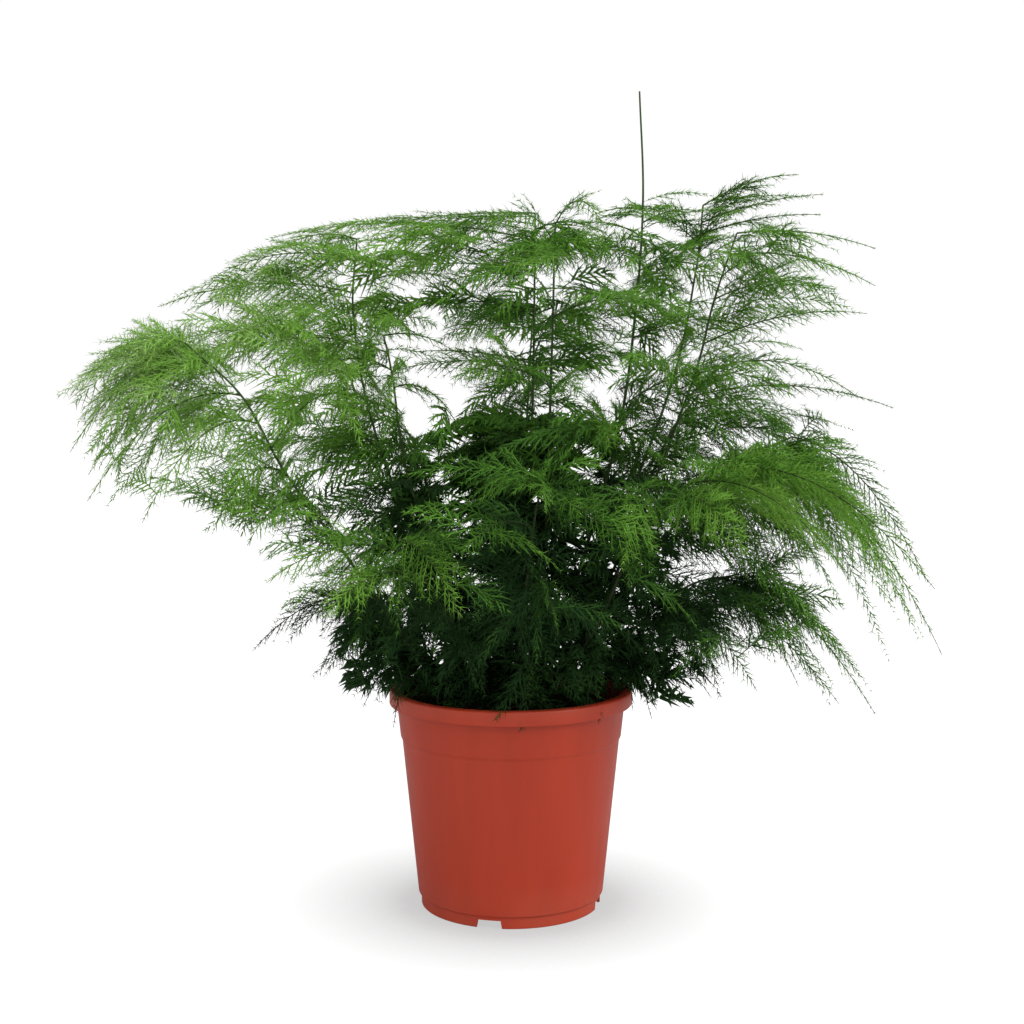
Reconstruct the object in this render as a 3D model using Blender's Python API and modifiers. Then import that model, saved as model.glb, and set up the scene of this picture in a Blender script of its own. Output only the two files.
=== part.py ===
"""Potted asparagus fern: a nursery pot, the soil in it, and the leafy stems that stand in the soil.

Sizes are in millimetres and become metres when each mesh is made. +Z is up, -Y is the front, and the
origin is under the middle of the pot's foot.
"""

import math
import random
from collections import namedtuple

import bmesh
import bpy
import numpy as np
from mathutils import Vector

MM = 0.001
UP = Vector((0, 0, 1))
FRONT = Vector((0, -1, 0))
SEAT_GAP = 0.3

# Pot
RIM_RADIUS = 60.0
RIM_TOP = 108.0
RIM_BAND = 7.1
WALL = 1.6
NECK_RADIUS = 56.8
STEP_RADIUS = 54.5
STEP_HEIGHT = 84.8
STEP_DROP = 1.4
BODY_TOP_RADIUS = 53.7
BODY_FOOT_RADIUS = 45.9
FOOT_RADIUS = 44.5
FOOT_HEIGHT = 5.4
FOOT_SLOPE = 1.0
FLOOR_UNDER = 4.5
TURN_STEPS = 32
NOTCH_COUNT = 4
NOTCH_START = -103.5
NOTCH_WIDTH = 14.0
NOTCH_HEIGHT = 4.0
NOTCH_DEPTH = 10.0
NOTCH_TAPER = 0.8
DRAIN_RADIUS = 4.0
DRAIN_RINGS = ((34.0, 0.0), (20.0, 45.0))
DRAIN_SIDES = 8

# Soil
SOIL_TOP = 98.0
SOIL_CROWN = 2.5
SOIL_SHOULDER = 0.6
SOIL_EDGE_DROP = 1.0
HOLE_DEPTH = 20.0
HOLE_SIDES = 6

# Shoots
STEM_RADIUS = 1.3
STEM_TIP_RADIUS = 0.8
RIB_RADIUS = 0.8
RIB_TIP_RADIUS = 0.55
RIB_START = 5.0
RIB_OFFSET = 3.4
ELBOW = 1.6
STEEP = 0.8
TWIG_RADIUS = 0.52
TWIG_START = 3.2
NEEDLE = 4.4
NEEDLE_LEAN = 42.0
JOINT_LENGTH = 2.0
TUFT_LENGTH = 1.2
RING_SPACING = 30.0
PAIR_SPACING = 36.0
MOST_PAIRS = 4
PAIR_START = 6.0
TWIG_ANGLE = 52.0
TWIG_SAG = 0.12
SHORTEST_TWIG = 5.0
LONG_TWIG = 26.0
CLEARANCE = 6.8
SAMPLE = 3.0
NEAR_STEM = 15.0
BARE_STEM = -1
COLLAR = 1.0
FEWEST_RIB_STEPS = 6
RING_SEARCH = 0.5
SAME_PLACE = 1e-6
FIRST_PAIR = 0.25
PAST_LAST_PAIR = 0.1
OUTLINE_TAPER = 0.75
OUTLINE_AT_STEM = 0.5
OUTLINE_WIDEST = 0.3
REACH_VARIES = 0.1
ANGLE_VARIES = 5.0
MIDDLE_VARIES = 0.05
NEEDLE_VARIES = 0.1
LAST_RING = 4.0
BENDS = ((0, 0), (8, 0), (-7, 0), (0, 9), (0, -9), (14, 6), (14, -6), (20, 0), (-12, 8), (-12, -8))
TWIG_TILTS = (0, 0.3, -0.3, 0.55, -0.55)

# A spray leaves its stem at a share of the stem's length and ends at its tip. Its rib arches by this
# much, and its widest twigs are as long as its spread. A stem's first point is its place in the soil.
Spray = namedtuple("Spray", "at tip arch spread")
Stem = namedtuple("Stem", "name foot points sprays")

STEMS = (
    Stem("stem_tall_centre", (4, 8), ((8, 12, 155), (11, 14, 255), (12, 15, 341)), (
        Spray(1.00, (-62, 40, 338), 2, 16),
        Spray(0.97, (50, 0, 327), 6, 20),
        Spray(0.95, (-122, 45, 331), 8, 26),
        Spray(0.93, (25, 115, 321), 9, 30),
        Spray(0.91, (30, -80, 313), 8, 30),
        Spray(0.89, (-62, -12, 310), 5, 26),
        Spray(0.82, (-52, 25, 295), 4, 22),
        Spray(0.79, (62, 45, 291), 6, 24),
        Spray(0.72, (-48, -18, 273), 3, 16),
    )),
    Stem("stem_bare_shoot", (14, -4), (
        (30, -6, 155), (52, -9, 235), (60, -10, 295), (63, -10, 346), (61, -10, 396)), (
        Spray(0.83, (38, -4, 338), 2, 10),
        Spray(0.81, (92, 4, 341), 3, 14),
        Spray(0.79, (28, -24, 332), 4, 16),
        Spray(0.76, (30, -55, 313), 6, 24),
        Spray(0.74, (98, -62, 305), 6, 26),
        Spray(0.71, (72, 60, 311), 6, 26),
        Spray(0.68, (8, -40, 301), 5, 22),
        Spray(0.64, (112, -20, 285), 6, 24),
        Spray(0.54, (126, -78, 253), 14, 40),
        Spray(0.47, (38, -92, 237), 10, 32),
    )),
    Stem("stem_right_high", (18, 10), ((45, 16, 165), (80, 25, 255), (93, 30, 315), (96, 30, 346)), (
        Spray(1.00, (145, 38, 362), 4, 16),
        Spray(0.97, (159, 46, 353), 3, 10),
        Spray(0.95, (154, 24, 341), 3, 12),
        Spray(0.93, (68, 8, 340), 3, 14),
        Spray(0.91, (105, 115, 331), 8, 28),
        Spray(0.86, (58, 12, 317), 4, 18),
        Spray(0.79, (66, -2, 289), 4, 18),
        Spray(0.74, (130, 95, 283), 8, 30),
    )),
    Stem("stem_right_lean", (22, -8), ((50, -18, 165), (84, -28, 255), (95, -30, 297), (105, -32, 328)), (
        Spray(1.00, (170, -30, 321), 4, 14),
        Spray(0.96, (166, -50, 303), 6, 22),
        Spray(0.92, (115, -115, 301), 8, 30),
        Spray(0.88, (150, -5, 305), 5, 20),
        Spray(0.80, (167, -28, 291), 6, 16),
        Spray(0.74, (161, -42, 252), 12, 20),
        Spray(0.68, (62, -88, 267), 8, 26),
    )),
    Stem("stem_right_back", (20, 20), ((50, 40, 155), (80, 55, 225), (98, 60, 251)), (
        Spray(1.00, (200, 60, 244), 8, 16),
        Spray(0.94, (160, 120, 227), 10, 32),
        Spray(0.88, (110, 155, 217), 10, 34),
        Spray(0.82, (161, 26, 224), 12, 26),
    )),
    Stem("stem_right_arch", (26, 4), ((60, 10, 155), (100, 15, 210), (140, 18, 231)), (
        Spray(1.00, (211, 22, 157), 16, 26),
        Spray(0.92, (196, 72, 171), 14, 32),
        Spray(0.86, (180, -22, 169), 14, 26),
        Spray(0.76, (150, 105, 183), 12, 34),
    )),
    Stem("stem_right_front", (16, -16), ((40, -42, 145), (64, -64, 200), (100, -74, 227)), (
        Spray(1.00, (203, -40, 131), 26, 28),
        Spray(0.94, (185, -95, 170), 18, 34),
        Spray(0.87, (140, -132, 181), 14, 36),
        Spray(0.79, (95, -152, 191), 12, 34),
        Spray(0.70, (122, -30, 195), 10, 28),
        Spray(0.60, (50, -118, 173), 12, 30),
    )),
    Stem("stem_right_low", (30, -4), ((55, -8, 133), (85, -10, 159), (108, -10, 165)), (
        Spray(1.00, (178, -12, 97), 12, 20),
        Spray(0.90, (148, 32, 102), 12, 20),
        Spray(0.80, (150, -65, 113), 12, 28),
        Spray(0.68, (108, -95, 125), 12, 30),
        Spray(0.58, (120, 85, 117), 12, 30),
    )),
    Stem("stem_right_rim", (34, 12), ((46, 16, 115), (60, 19, 129)), (
        Spray(1.00, (102, 22, 98), 9, 14),
        Spray(0.82, (68, -24, 97), 10, 10),
        Spray(0.66, (72, 56, 97), 11, 14),
    )),
    Stem("stem_front_mid", (2, -18), ((5, -50, 145), (10, -80, 195), (13, -92, 213)), (
        Spray(1.00, (14, -157, 209), 8, 22),
        Spray(0.94, (54, -146, 185), 10, 24),
        Spray(0.86, (-20, -150, 191), 8, 26),
        Spray(0.70, (20, -125, 155), 10, 28),
    )),
    Stem("stem_front_left", (-8, -16), ((-22, -45, 135), (-40, -74, 175), (-50, -84, 191)), (
        Spray(1.00, (-20, -132, 162), 8, 30),
        Spray(0.92, (-104, -110, 175), 10, 34),
        Spray(0.82, (-78, -138, 163), 10, 32),
        Spray(0.66, (-92, -62, 153), 8, 24),
    )),
    Stem("stem_front_rim", (8, -32), ((10, -40, 117), (10, -43, 131)), (
        Spray(1.00, (8, -54, 113), 3, 7),
        Spray(0.86, (28, -50, 115), 4, 7),
    )),
    Stem("stem_left_mid", (-8, -2), ((-30, -6, 155), (-50, -9, 215), (-57, -10, 262), (-61, -10, 281)), (
        Spray(1.00, (-26, -20, 273), 4, 10),
        Spray(0.96, (-122, -20, 275), 6, 26),
        Spray(0.92, (-95, -95, 255), 10, 32),
        Spray(0.88, (-26, -64, 245), 6, 20),
        Spray(0.82, (-108, 32, 249), 6, 26),
    )),
    Stem("stem_centre_thin", (10, -8), ((16, -16, 165), (19, -20, 255), (21, -20, 333)), (
        Spray(1.00, (42, -66, 327), 4, 20),
        Spray(0.96, (-24, -74, 314), 3, 24),
        Spray(0.83, (72, -88, 289), 8, 26),
        Spray(0.70, (-26, -98, 261), 8, 30),
    )),
    Stem("stem_far_left", (-16, -8), (
        (-45, -22, 129), (-79, -40, 181), (-104, -52, 219), (-122, -57, 253), (-148, -52, 277)), (
        Spray(1.00, (-211, -15, 252), 12, 34),
        Spray(0.94, (-203, -48, 227), 16, 40),
        Spray(0.90, (-197, 2, 269), 12, 30),
        Spray(0.86, (-188, -78, 207), 16, 34),
        Spray(0.80, (-160, -96, 199), 16, 34),
        Spray(0.75, (-72, -88, 255), 8, 28),
        Spray(0.69, (-128, -106, 195), 14, 30),
        Spray(0.60, (-112, -112, 191), 12, 26),
        Spray(0.52, (-140, -18, 195), 10, 28),
    )),
    Stem("stem_left_back", (-10, 12), ((-40, 28, 155), (-70, 38, 235), (-80, 40, 290), (-78, 40, 330)), (
        Spray(1.00, (-122, 74, 327), 5, 24),
        Spray(0.96, (-150, 50, 313), 7, 28),
        Spray(0.94, (-40, 88, 321), 6, 26),
        Spray(0.90, (-180, 42, 296), 8, 26),
        Spray(0.85, (-70, 135, 299), 8, 32),
        Spray(0.80, (-192, 56, 273), 10, 28),
        Spray(0.74, (-130, 125, 261), 12, 36),
    )),
    Stem("stem_left_low", (-26, 4), ((-46, 12, 121), (-64, 17, 143), (-78, 20, 151)), (
        Spray(1.00, (-132, 28, 121), 8, 24),
        Spray(0.86, (-112, -10, 149), 6, 20),
        Spray(0.74, (-88, -42, 121), 8, 22),
        Spray(0.62, (-100, 80, 119), 10, 28),
    )),
    Stem("stem_left_rim", (-34, -10), ((-46, -15, 113), (-56, -20, 121)), (
        Spray(1.00, (-71, -24, 103), 5, 10),
        Spray(0.80, (-54, -60, 101), 10, 12),
    )),
    Stem("stem_back_left", (-12, 24), ((-35, 60, 165), (-50, 85, 219), (-62, 100, 235)), (
        Spray(1.00, (-125, 150, 201), 12, 36),
        Spray(0.93, (-65, 156, 205), 10, 32),
        Spray(0.87, (-158, 105, 209), 12, 34),
        Spray(0.76, (-18, 150, 205), 12, 34),
    )),
    Stem("stem_back_mid", (2, 28), ((6, 60, 185), (10, 80, 265), (12, 88, 295)), (
        Spray(1.00, (-32, 150, 277), 8, 32),
        Spray(0.95, (50, 158, 273), 8, 32),
        Spray(0.90, (68, 96, 267), 6, 24),
        Spray(0.85, (-62, 98, 263), 6, 26),
        Spray(0.78, (10, 157, 237), 12, 36),
    )),
    Stem("stem_back_right", (16, 30), ((40, 62, 155), (64, 88, 205), (80, 98, 219)), (
        Spray(1.00, (135, 145, 175), 12, 34),
        Spray(0.92, (70, 156, 183), 12, 32),
        Spray(0.84, (168, 95, 163), 12, 32),
    )),
    Stem("stem_back_low", (0, 38), ((-5, 52, 125), (-8, 62, 139)), (
        Spray(1.00, (-62, 112, 109), 12, 30),
        Spray(0.86, (5, 132, 109), 12, 30),
        Spray(0.72, (58, 104, 111), 12, 28),
    )),
)

FINISHES = {
    "pot": ((0.37, 0.06, 0.035, 1), 0.42),
    "soil": ((0.018, 0.012, 0.009, 1), 0.95),
    "foliage": ((0.06, 0.16, 0.025, 1), 0.6),
}


def clear_scene():
    for obj in list(bpy.data.objects):
        bpy.data.objects.remove(obj, do_unlink=True)


def new_collection(name, in_render=True):
    collection = bpy.data.collections.new(name)
    collection.hide_render = not in_render
    bpy.context.scene.collection.children.link(collection)
    return collection


def finish(name):
    """The plain material of this name, made on first use."""
    material = bpy.data.materials.get(name)
    if material is None:
        colour, roughness = FINISHES[name]
        material = bpy.data.materials.new(name)
        material.use_nodes = True
        shader = material.node_tree.nodes["Principled BSDF"]
        shader.inputs["Base Color"].default_value = colour
        shader.inputs["Roughness"].default_value = roughness
    return material


def new_object(name, bm, collection, material=None):
    """Puts a bmesh in millimetres into the collection as an object in metres."""
    bmesh.ops.scale(bm, vec=(MM, MM, MM), verts=bm.verts)
    mesh = bpy.data.meshes.new(name)
    bm.to_mesh(mesh)
    bm.free()
    if material:
        mesh.materials.append(material)
    obj = bpy.data.objects.new(name, mesh)
    collection.objects.link(obj)
    return obj


def turned(name, profile, collection, material):
    """A profile of (radius, height) points turned about Z."""
    bm = bmesh.new()
    points = [bm.verts.new((radius, 0, height)) for radius, height in profile]
    for start, end in zip(points, points[1:]):
        bm.edges.new((start, end))
    obj = new_object(name, bm, collection, material)
    screw = obj.modifiers.new("turn", "SCREW")
    screw.steps = TURN_STEPS
    screw.render_steps = TURN_STEPS
    screw.use_merge_vertices = True
    screw.merge_threshold = 0.0001
    screw.use_smooth_shade = True
    return obj


def cut(obj, cutters):
    boolean = obj.modifiers.new("cut", "BOOLEAN")
    boolean.operation = "DIFFERENCE"
    boolean.operand_type = "COLLECTION"
    boolean.collection = cutters


def add_cutter(name, bm, collection):
    cutter = new_object(name, bm, collection)
    cutter.hide_render = True
    cutter.display_type = "WIRE"


def wall_radius(height):
    """The pot's inner radius below the step, at this height."""
    share = (height - FOOT_HEIGHT) / (STEP_HEIGHT - STEP_DROP - FOOT_HEIGHT)
    return BODY_FOOT_RADIUS + (BODY_TOP_RADIUS - BODY_FOOT_RADIUS) * share - WALL


def pot_profile():
    floor = FLOOR_UNDER + WALL
    band_foot = RIM_TOP - RIM_BAND
    step_foot = STEP_HEIGHT - STEP_DROP
    inside = [
        (0, floor),
        (wall_radius(floor), floor),
        (BODY_TOP_RADIUS - WALL, step_foot),
        (STEP_RADIUS - WALL, STEP_HEIGHT),
        (NECK_RADIUS - WALL, RIM_TOP),
    ]
    rim = [
        (RIM_RADIUS, RIM_TOP),
        (RIM_RADIUS, band_foot),
        (RIM_RADIUS - WALL, band_foot),
        (RIM_RADIUS - WALL, RIM_TOP - WALL),
        (NECK_RADIUS, RIM_TOP - WALL),
    ]
    outside = [
        (STEP_RADIUS, STEP_HEIGHT),
        (BODY_TOP_RADIUS, step_foot),
        (BODY_FOOT_RADIUS, FOOT_HEIGHT + FOOT_SLOPE),
        (FOOT_RADIUS, FOOT_HEIGHT),
        (FOOT_RADIUS, 0),
        (FOOT_RADIUS - WALL, 0),
        (FOOT_RADIUS - WALL, FLOOR_UNDER),
        (0, FLOOR_UNDER),
    ]
    return inside + rim + outside


def around(radius, degrees):
    angle = math.radians(degrees)
    return Vector((radius * math.cos(angle), radius * math.sin(angle), 0))


def make_pot(collection):
    cutters = new_collection("pot cutters", in_render=False)
    for index in range(NOTCH_COUNT):
        angle = NOTCH_START + index * 360 / NOTCH_COUNT
        bm = bmesh.new()
        bmesh.ops.create_cube(bm, size=1)
        bmesh.ops.scale(bm, vec=(NOTCH_DEPTH, NOTCH_WIDTH, 2 * NOTCH_HEIGHT), verts=bm.verts)
        top = [vert for vert in bm.verts if vert.co.z > 0]
        bmesh.ops.scale(bm, vec=(1, NOTCH_TAPER, 1), verts=top)
        turn = Vector((1, 0, 0)).rotation_difference(around(1, angle)).to_matrix()
        bmesh.ops.rotate(bm, matrix=turn, verts=bm.verts)
        bmesh.ops.translate(bm, vec=around(FOOT_RADIUS, angle), verts=bm.verts)
        add_cutter(f"notch_{index}", bm, cutters)
        for circle, (radius, offset) in enumerate(DRAIN_RINGS):
            bm = bmesh.new()
            bmesh.ops.create_cone(
                bm, cap_ends=True, segments=DRAIN_SIDES, radius1=DRAIN_RADIUS, radius2=DRAIN_RADIUS,
                depth=6 * WALL)
            place = around(radius, angle + offset) + UP * (FLOOR_UNDER + WALL / 2)
            bmesh.ops.translate(bm, vec=place, verts=bm.verts)
            add_cutter(f"drain_{index}_{circle}", bm, cutters)
    pot = turned("pot", pot_profile(), collection, finish("pot"))
    cut(pot, cutters)


def make_soil(collection):
    floor = FLOOR_UNDER + WALL + SEAT_GAP
    step_foot = STEP_HEIGHT - STEP_DROP
    collar_slope = (NECK_RADIUS - STEP_RADIUS) / (RIM_TOP - STEP_HEIGHT)
    edge = NECK_RADIUS - WALL - (RIM_TOP - SOIL_TOP) * collar_slope
    profile = [
        (0, SOIL_TOP + SOIL_CROWN),
        (SOIL_SHOULDER * edge, SOIL_TOP + SOIL_CROWN / 2),
        (edge - SEAT_GAP, SOIL_TOP - SOIL_EDGE_DROP),
        (STEP_RADIUS - WALL - SEAT_GAP, STEP_HEIGHT),
        (BODY_TOP_RADIUS - WALL - SEAT_GAP, step_foot),
        (wall_radius(floor) - SEAT_GAP, floor),
        (0, floor),
    ]
    cutters = new_collection("soil cutters", in_render=False)
    for stem in STEMS:
        bm = bmesh.new()
        depth = 2 * HOLE_DEPTH
        radius = STEM_RADIUS + 2 * SEAT_GAP
        bmesh.ops.create_cone(
            bm, cap_ends=True, segments=HOLE_SIDES, radius1=radius, radius2=radius, depth=depth)
        place = Vector((*stem.foot, SOIL_TOP - HOLE_DEPTH - SEAT_GAP + depth / 2))
        bmesh.ops.translate(bm, vec=place, verts=bm.verts)
        add_cutter(f"hole_{stem.name}", bm, cutters)
    soil = turned("soil", profile, collection, finish("soil"))
    cut(soil, cutters)


def smooth_path(points, spacing):
    """Points about every spacing along a smooth curve through the given ones."""
    ends = [2 * points[0] - points[1], *points, 2 * points[-1] - points[-2]]
    path = []
    for before, start, end, after in zip(ends, ends[1:], ends[2:], ends[3:]):
        count = max(2, round((end - start).length / spacing))
        for index in range(count):
            u = index / count
            path.append(
                0.5 * (2 * start + (end - before) * u
                       + (2 * before - 5 * start + 4 * end - after) * u**2
                       + (3 * start - before - 3 * end + after) * u**3))
    return path + [points[-1]]


def along(path, distance):
    """The point and the direction of a path at this distance from its start."""
    for start, end in zip(path, path[1:]):
        step = (end - start).length
        if distance <= step or end is path[-1]:
            return start + (end - start) * (distance / step), (end - start).normalized()
        distance -= step


def length_of(path):
    return sum((end - start).length for start, end in zip(path, path[1:]))


def stem_path(stem):
    foot = Vector((*stem.foot, SOIL_TOP - HOLE_DEPTH))
    collar = Vector((*stem.foot, SOIL_TOP + SOIL_CROWN + COLLAR))
    return [foot] + smooth_path([collar, *map(Vector, stem.points)], SAMPLE)


def rib_path(start, spray, bend):
    """The rib of a spray: an arch from its stem to its tip, bent aside where it would meet another."""
    tip = Vector(spray.tip)
    lift, aside = bend
    sideways = (tip - start).cross(UP).normalized()
    crest = (start + tip) / 2 + UP * 2 * (spray.arch + lift) + sideways * 2 * aside
    count = max(FEWEST_RIB_STEPS, round((tip - start).length / SAMPLE))
    path = []
    for index in range(count + 1):
        u = index / count
        path.append(start * (1 - u) ** 2 + crest * 2 * u * (1 - u) + tip * u**2)
    return path


def outline(share):
    """How long the twigs are along a spray, from 0 at its stem to 1 at its tip."""
    opening = OUTLINE_AT_STEM + (1 - OUTLINE_AT_STEM) * min(1, share / OUTLINE_WIDEST)
    return (1 - share) ** OUTLINE_TAPER * opening


class Space:
    """Keeps points of the shoots that are in place, to hold the next ones clear of them."""

    def __init__(self):
        self.points = np.empty((0, 3))
        self.keys = np.empty((0, 2), int)
        self.near = np.empty(0, bool)

    def add(self, path, key, start):
        points = np.array(path)
        near = np.linalg.norm(points - np.array(start), axis=1) < NEAR_STEM
        self.points = np.concatenate([self.points, points])
        self.keys = np.concatenate([self.keys, np.tile(key, (len(points), 1))])
        self.near = np.concatenate([self.near, near])

    def room(self, path, key, start):
        """The distance from the path to the nearest shoot, past the stem and the spray that it grows on."""
        points = np.array(path)
        close = np.linalg.norm(points - np.array(start), axis=1) < NEAR_STEM
        same_stem = self.keys[:, 0] == key[0]
        same_spray = self.keys[:, 1] == key[1]
        its_stem = same_stem & (self.keys[:, 1] == BARE_STEM)
        gaps = np.linalg.norm(points[:, None] - self.points[None], axis=2)
        gaps[:, same_spray | its_stem | (same_stem & self.near)] = math.inf
        gaps[np.ix_(close, same_stem)] = math.inf
        return gaps.min()


def sampled(start, end):
    count = max(2, math.ceil((end - start).length / SAMPLE))
    return [start.lerp(end, index / count) for index in range(count + 1)]


def first_ring(rib, stem):
    """How far along its rib a spray is clear of the stem, where that stem doesn't end in it."""
    distance = RIB_START
    if rib[0] != stem[-1]:
        while min((along(rib, distance)[0] - point).length for point in stem) < RIB_OFFSET:
            distance += RING_SEARCH
    return distance


def plan_twigs(path, first, spray, key, space, rng):
    """Where the twigs of a spray start and end: pairs along its rib, each bent clear or left out."""
    length = length_of(path)
    free = first + PAIR_START
    pairs = min(MOST_PAIRS, max(1, round((length - free) / PAIR_SPACING)))
    twigs = []
    for pair in range(pairs):
        distance = free + (length - free) * (pair + FIRST_PAIR) / (pairs + PAST_LAST_PAIR)
        base, forward = along(path, distance)
        sideways = forward.cross(UP).normalized()
        reach = spray.spread * outline(distance / length) * rng.uniform(1 - REACH_VARIES, 1 + REACH_VARIES)
        for side in (-1, 1):
            angle = math.radians(TWIG_ANGLE + rng.uniform(-ANGLE_VARIES, ANGLE_VARIES))
            flat = forward * math.cos(angle) + sideways * side * math.sin(angle)
            for tilt in TWIG_TILTS:
                heading = (flat + UP * (tilt - TWIG_SAG)).normalized()
                tip = base + heading * max(reach, SHORTEST_TWIG)
                points = sampled(base, tip)
                if space.room(points[2:], key, path[0]) > CLEARANCE:
                    twigs.append((distance, side, heading, (tip - base).length))
                    space.add(points, key, path[0])
                    break
    return twigs


def plan_plant():
    """Every stem's path and its sprays, each with a rib and twigs that keep clear of the others."""
    space = Space()
    paths = [stem_path(stem) for stem in STEMS]
    for index, path in enumerate(paths):
        space.add(path, (index, BARE_STEM), path[0])
    plan = []
    serial = 0
    for index, (stem, path) in enumerate(zip(STEMS, paths)):
        length = length_of(path)
        sprays = []
        for spray in stem.sprays:
            rng = random.Random(f"{stem.name} {spray.at}")
            start, _ = along(path, spray.at * length)
            ribs = [rib_path(start, spray, bend) for bend in BENDS]
            rooms = [space.room(rib[2:], (index, serial), start) for rib in ribs]
            clear = [rib for rib, room in zip(ribs, rooms) if room > CLEARANCE]
            rib = clear[0] if clear else ribs[rooms.index(max(rooms))]
            space.add(rib, (index, serial), start)
            sprays.append((spray, rib, (index, serial), rng))
            serial += 1
        plan.append((stem, path, sprays))
    for stem, path, sprays in plan:
        for index, (spray, rib, key, rng) in enumerate(sprays):
            first = first_ring(rib, path)
            sprays[index] = (spray, rib, first, plan_twigs(rib, first, spray, key, space, rng))
    return plan


def ring(centre, forward, upright, radius):
    """Three corners round a shoot, the first towards upright and the others in turn about forward."""
    top = (upright - forward * upright.dot(forward)).normalized()
    left = top.cross(forward)
    corners = []
    for degrees in (90, 210, 330):
        angle = math.radians(degrees)
        corners.append(centre + (left * math.cos(angle) + top * math.sin(angle)) * radius)
    return corners


def start_shoot(bm, first, second):
    """A closed three-sided prism from one ring to the next. Returns its rings of vertices."""
    made = bmesh.ops.create_cone(bm, cap_ends=True, segments=3, radius1=1, radius2=1, depth=2)["verts"]
    lower = sorted((vert for vert in made if vert.co.z < 0), key=lambda v: math.atan2(v.co.y, v.co.x))
    upper = sorted((vert for vert in made if vert.co.z > 0), key=lambda v: math.atan2(v.co.y, v.co.x))
    for verts, corners in ((lower, first), (upper, second)):
        for vert, corner in zip(verts, corners):
            vert.co = corner
    return lower, upper


def grow(bm, verts, corners):
    """Extrudes the end of a shoot to the next ring. Returns the ring's vertices, in the same order."""
    face = bm.faces.get(verts)
    old = list(face.verts)
    new = list(bmesh.ops.extrude_discrete_faces(bm, faces=[face])["faces"][0].verts)
    ends = [new[old.index(vert)] for vert in verts]
    for vert, corner in zip(ends, corners):
        vert.co = corner
    return ends


def sprout(bm, face, corners):
    """Extrudes a side or end face of a shoot to the first ring of a new one, with the least twist."""
    new = list(bmesh.ops.extrude_discrete_faces(bm, faces=[face])["faces"][0].verts)
    count = len(new)
    best = None
    for doubled in range(count if count > 3 else 1):
        for turn in range(3):
            places = []
            for index in range(count):
                step = (index - doubled) % count
                corner = step if count == 3 else max(0, step - 1)
                places.append((corner + turn) % 3)
            cost = sum((vert.co - corners[place]).length_squared for vert, place in zip(new, places))
            if best is None or cost < best[0]:
                best = (cost, places)
    chosen = {}
    for vert, place in zip(new, best[1]):
        vert.co = corners[place]
        if place in chosen:
            bmesh.ops.weld_verts(bm, targetmap={vert: chosen[place]})
        else:
            chosen[place] = vert
    return [chosen[place] for place in range(3)]


def side_faces(bm, first, second):
    """The three faces between two rings, from the first corner on."""
    return [
        bm.faces.get((first[k], first[(k + 1) % 3], second[(k + 1) % 3], second[k])) for k in range(3)
    ]


def raise_needle(bm, face, forward, length):
    """Draws a face of a shoot out to a needle that leans forward."""
    lean = math.radians(NEEDLE_LEAN)
    out = (face.normal - forward * face.normal.dot(forward)).normalized()
    tip = face.calc_center_median() + (forward * math.cos(lean) + out * math.sin(lean)) * length
    bmesh.ops.poke(bm, faces=[face])["verts"][0].co = tip


def end_in_tuft(bm, verts, forward, length):
    """Closes a shoot with a point and three needles round it."""
    face = bm.faces.get(verts)
    centre = face.calc_center_median()
    made = bmesh.ops.poke(bm, faces=[face])
    made["verts"][0].co = centre + forward * length
    for side in made["faces"]:
        side.normal_update()
        raise_needle(bm, side, forward, length)


def grow_twig(bm, face, base, heading, reach, rng):
    """A twig from a face of its rib, with needles round its middle if it is long, and a tuft at its end."""
    end = reach - NEEDLE
    verts = sprout(bm, face, ring(base + heading * TWIG_START, heading, UP, TWIG_RADIUS))
    if reach > LONG_TWIG:
        middle = reach * rng.uniform(0.5 - MIDDLE_VARIES, 0.5 + MIDDLE_VARIES)
        verts = grow(bm, verts, ring(base + heading * middle, heading, UP, TWIG_RADIUS))
        last = verts
        middle += TUFT_LENGTH
        verts = grow(bm, verts, ring(base + heading * middle, heading, UP, TWIG_RADIUS))
        for side in side_faces(bm, last, verts):
            side.normal_update()
            raise_needle(bm, side, heading, NEEDLE * rng.uniform(1 - NEEDLE_VARIES, 1 + NEEDLE_VARIES))
    if end > LAST_RING:
        verts = grow(bm, verts, ring(base + heading * end, heading, UP, TWIG_RADIUS))
    end_in_tuft(bm, verts, heading, NEEDLE)


def turn_stem(bm, face, end, stem_forward, forward):
    """Bends the end of a stem half way towards the spray that it runs out into. Returns its end face."""
    between = (stem_forward + forward).normalized()
    upright = FRONT if between.z > STEEP else UP
    verts = sprout(bm, face, ring(end + between * ELBOW, between, upright, RIB_RADIUS))
    return bm.faces.get(verts)


def grow_spray(bm, face, rib, first, twigs, rng):
    """A rib from a face of its stem, ring by ring, with a twig from each side where the plan has one."""
    length = length_of(rib)
    point, forward = along(rib, first)
    verts = sprout(bm, face, ring(point, forward, UP, RIB_RADIUS))
    marks = sorted({mark for mark, *_ in twigs})
    sprouts = []
    for mark in marks:
        for place in (mark - JOINT_LENGTH / 2, mark + JOINT_LENGTH / 2):
            last = verts
            radius = RIB_RADIUS + (RIB_TIP_RADIUS - RIB_RADIUS) * place / length
            point, forward = along(rib, place)
            verts = grow(bm, verts, ring(point, forward, UP, radius))
        sides = side_faces(bm, last, verts)
        for at, side, heading, reach in twigs:
            if at == mark:
                sprouts.append((sides[0 if side > 0 else 2], mark, heading, reach))
    point, forward = along(rib, length - NEEDLE)
    verts = grow(bm, verts, ring(point, forward, UP, RIB_TIP_RADIUS))
    end_in_tuft(bm, verts, (rib[-1] - point).normalized(), NEEDLE)
    for side, mark, heading, reach in sprouts:
        grow_twig(bm, side, along(rib, mark)[0], heading, reach, rng)


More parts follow.
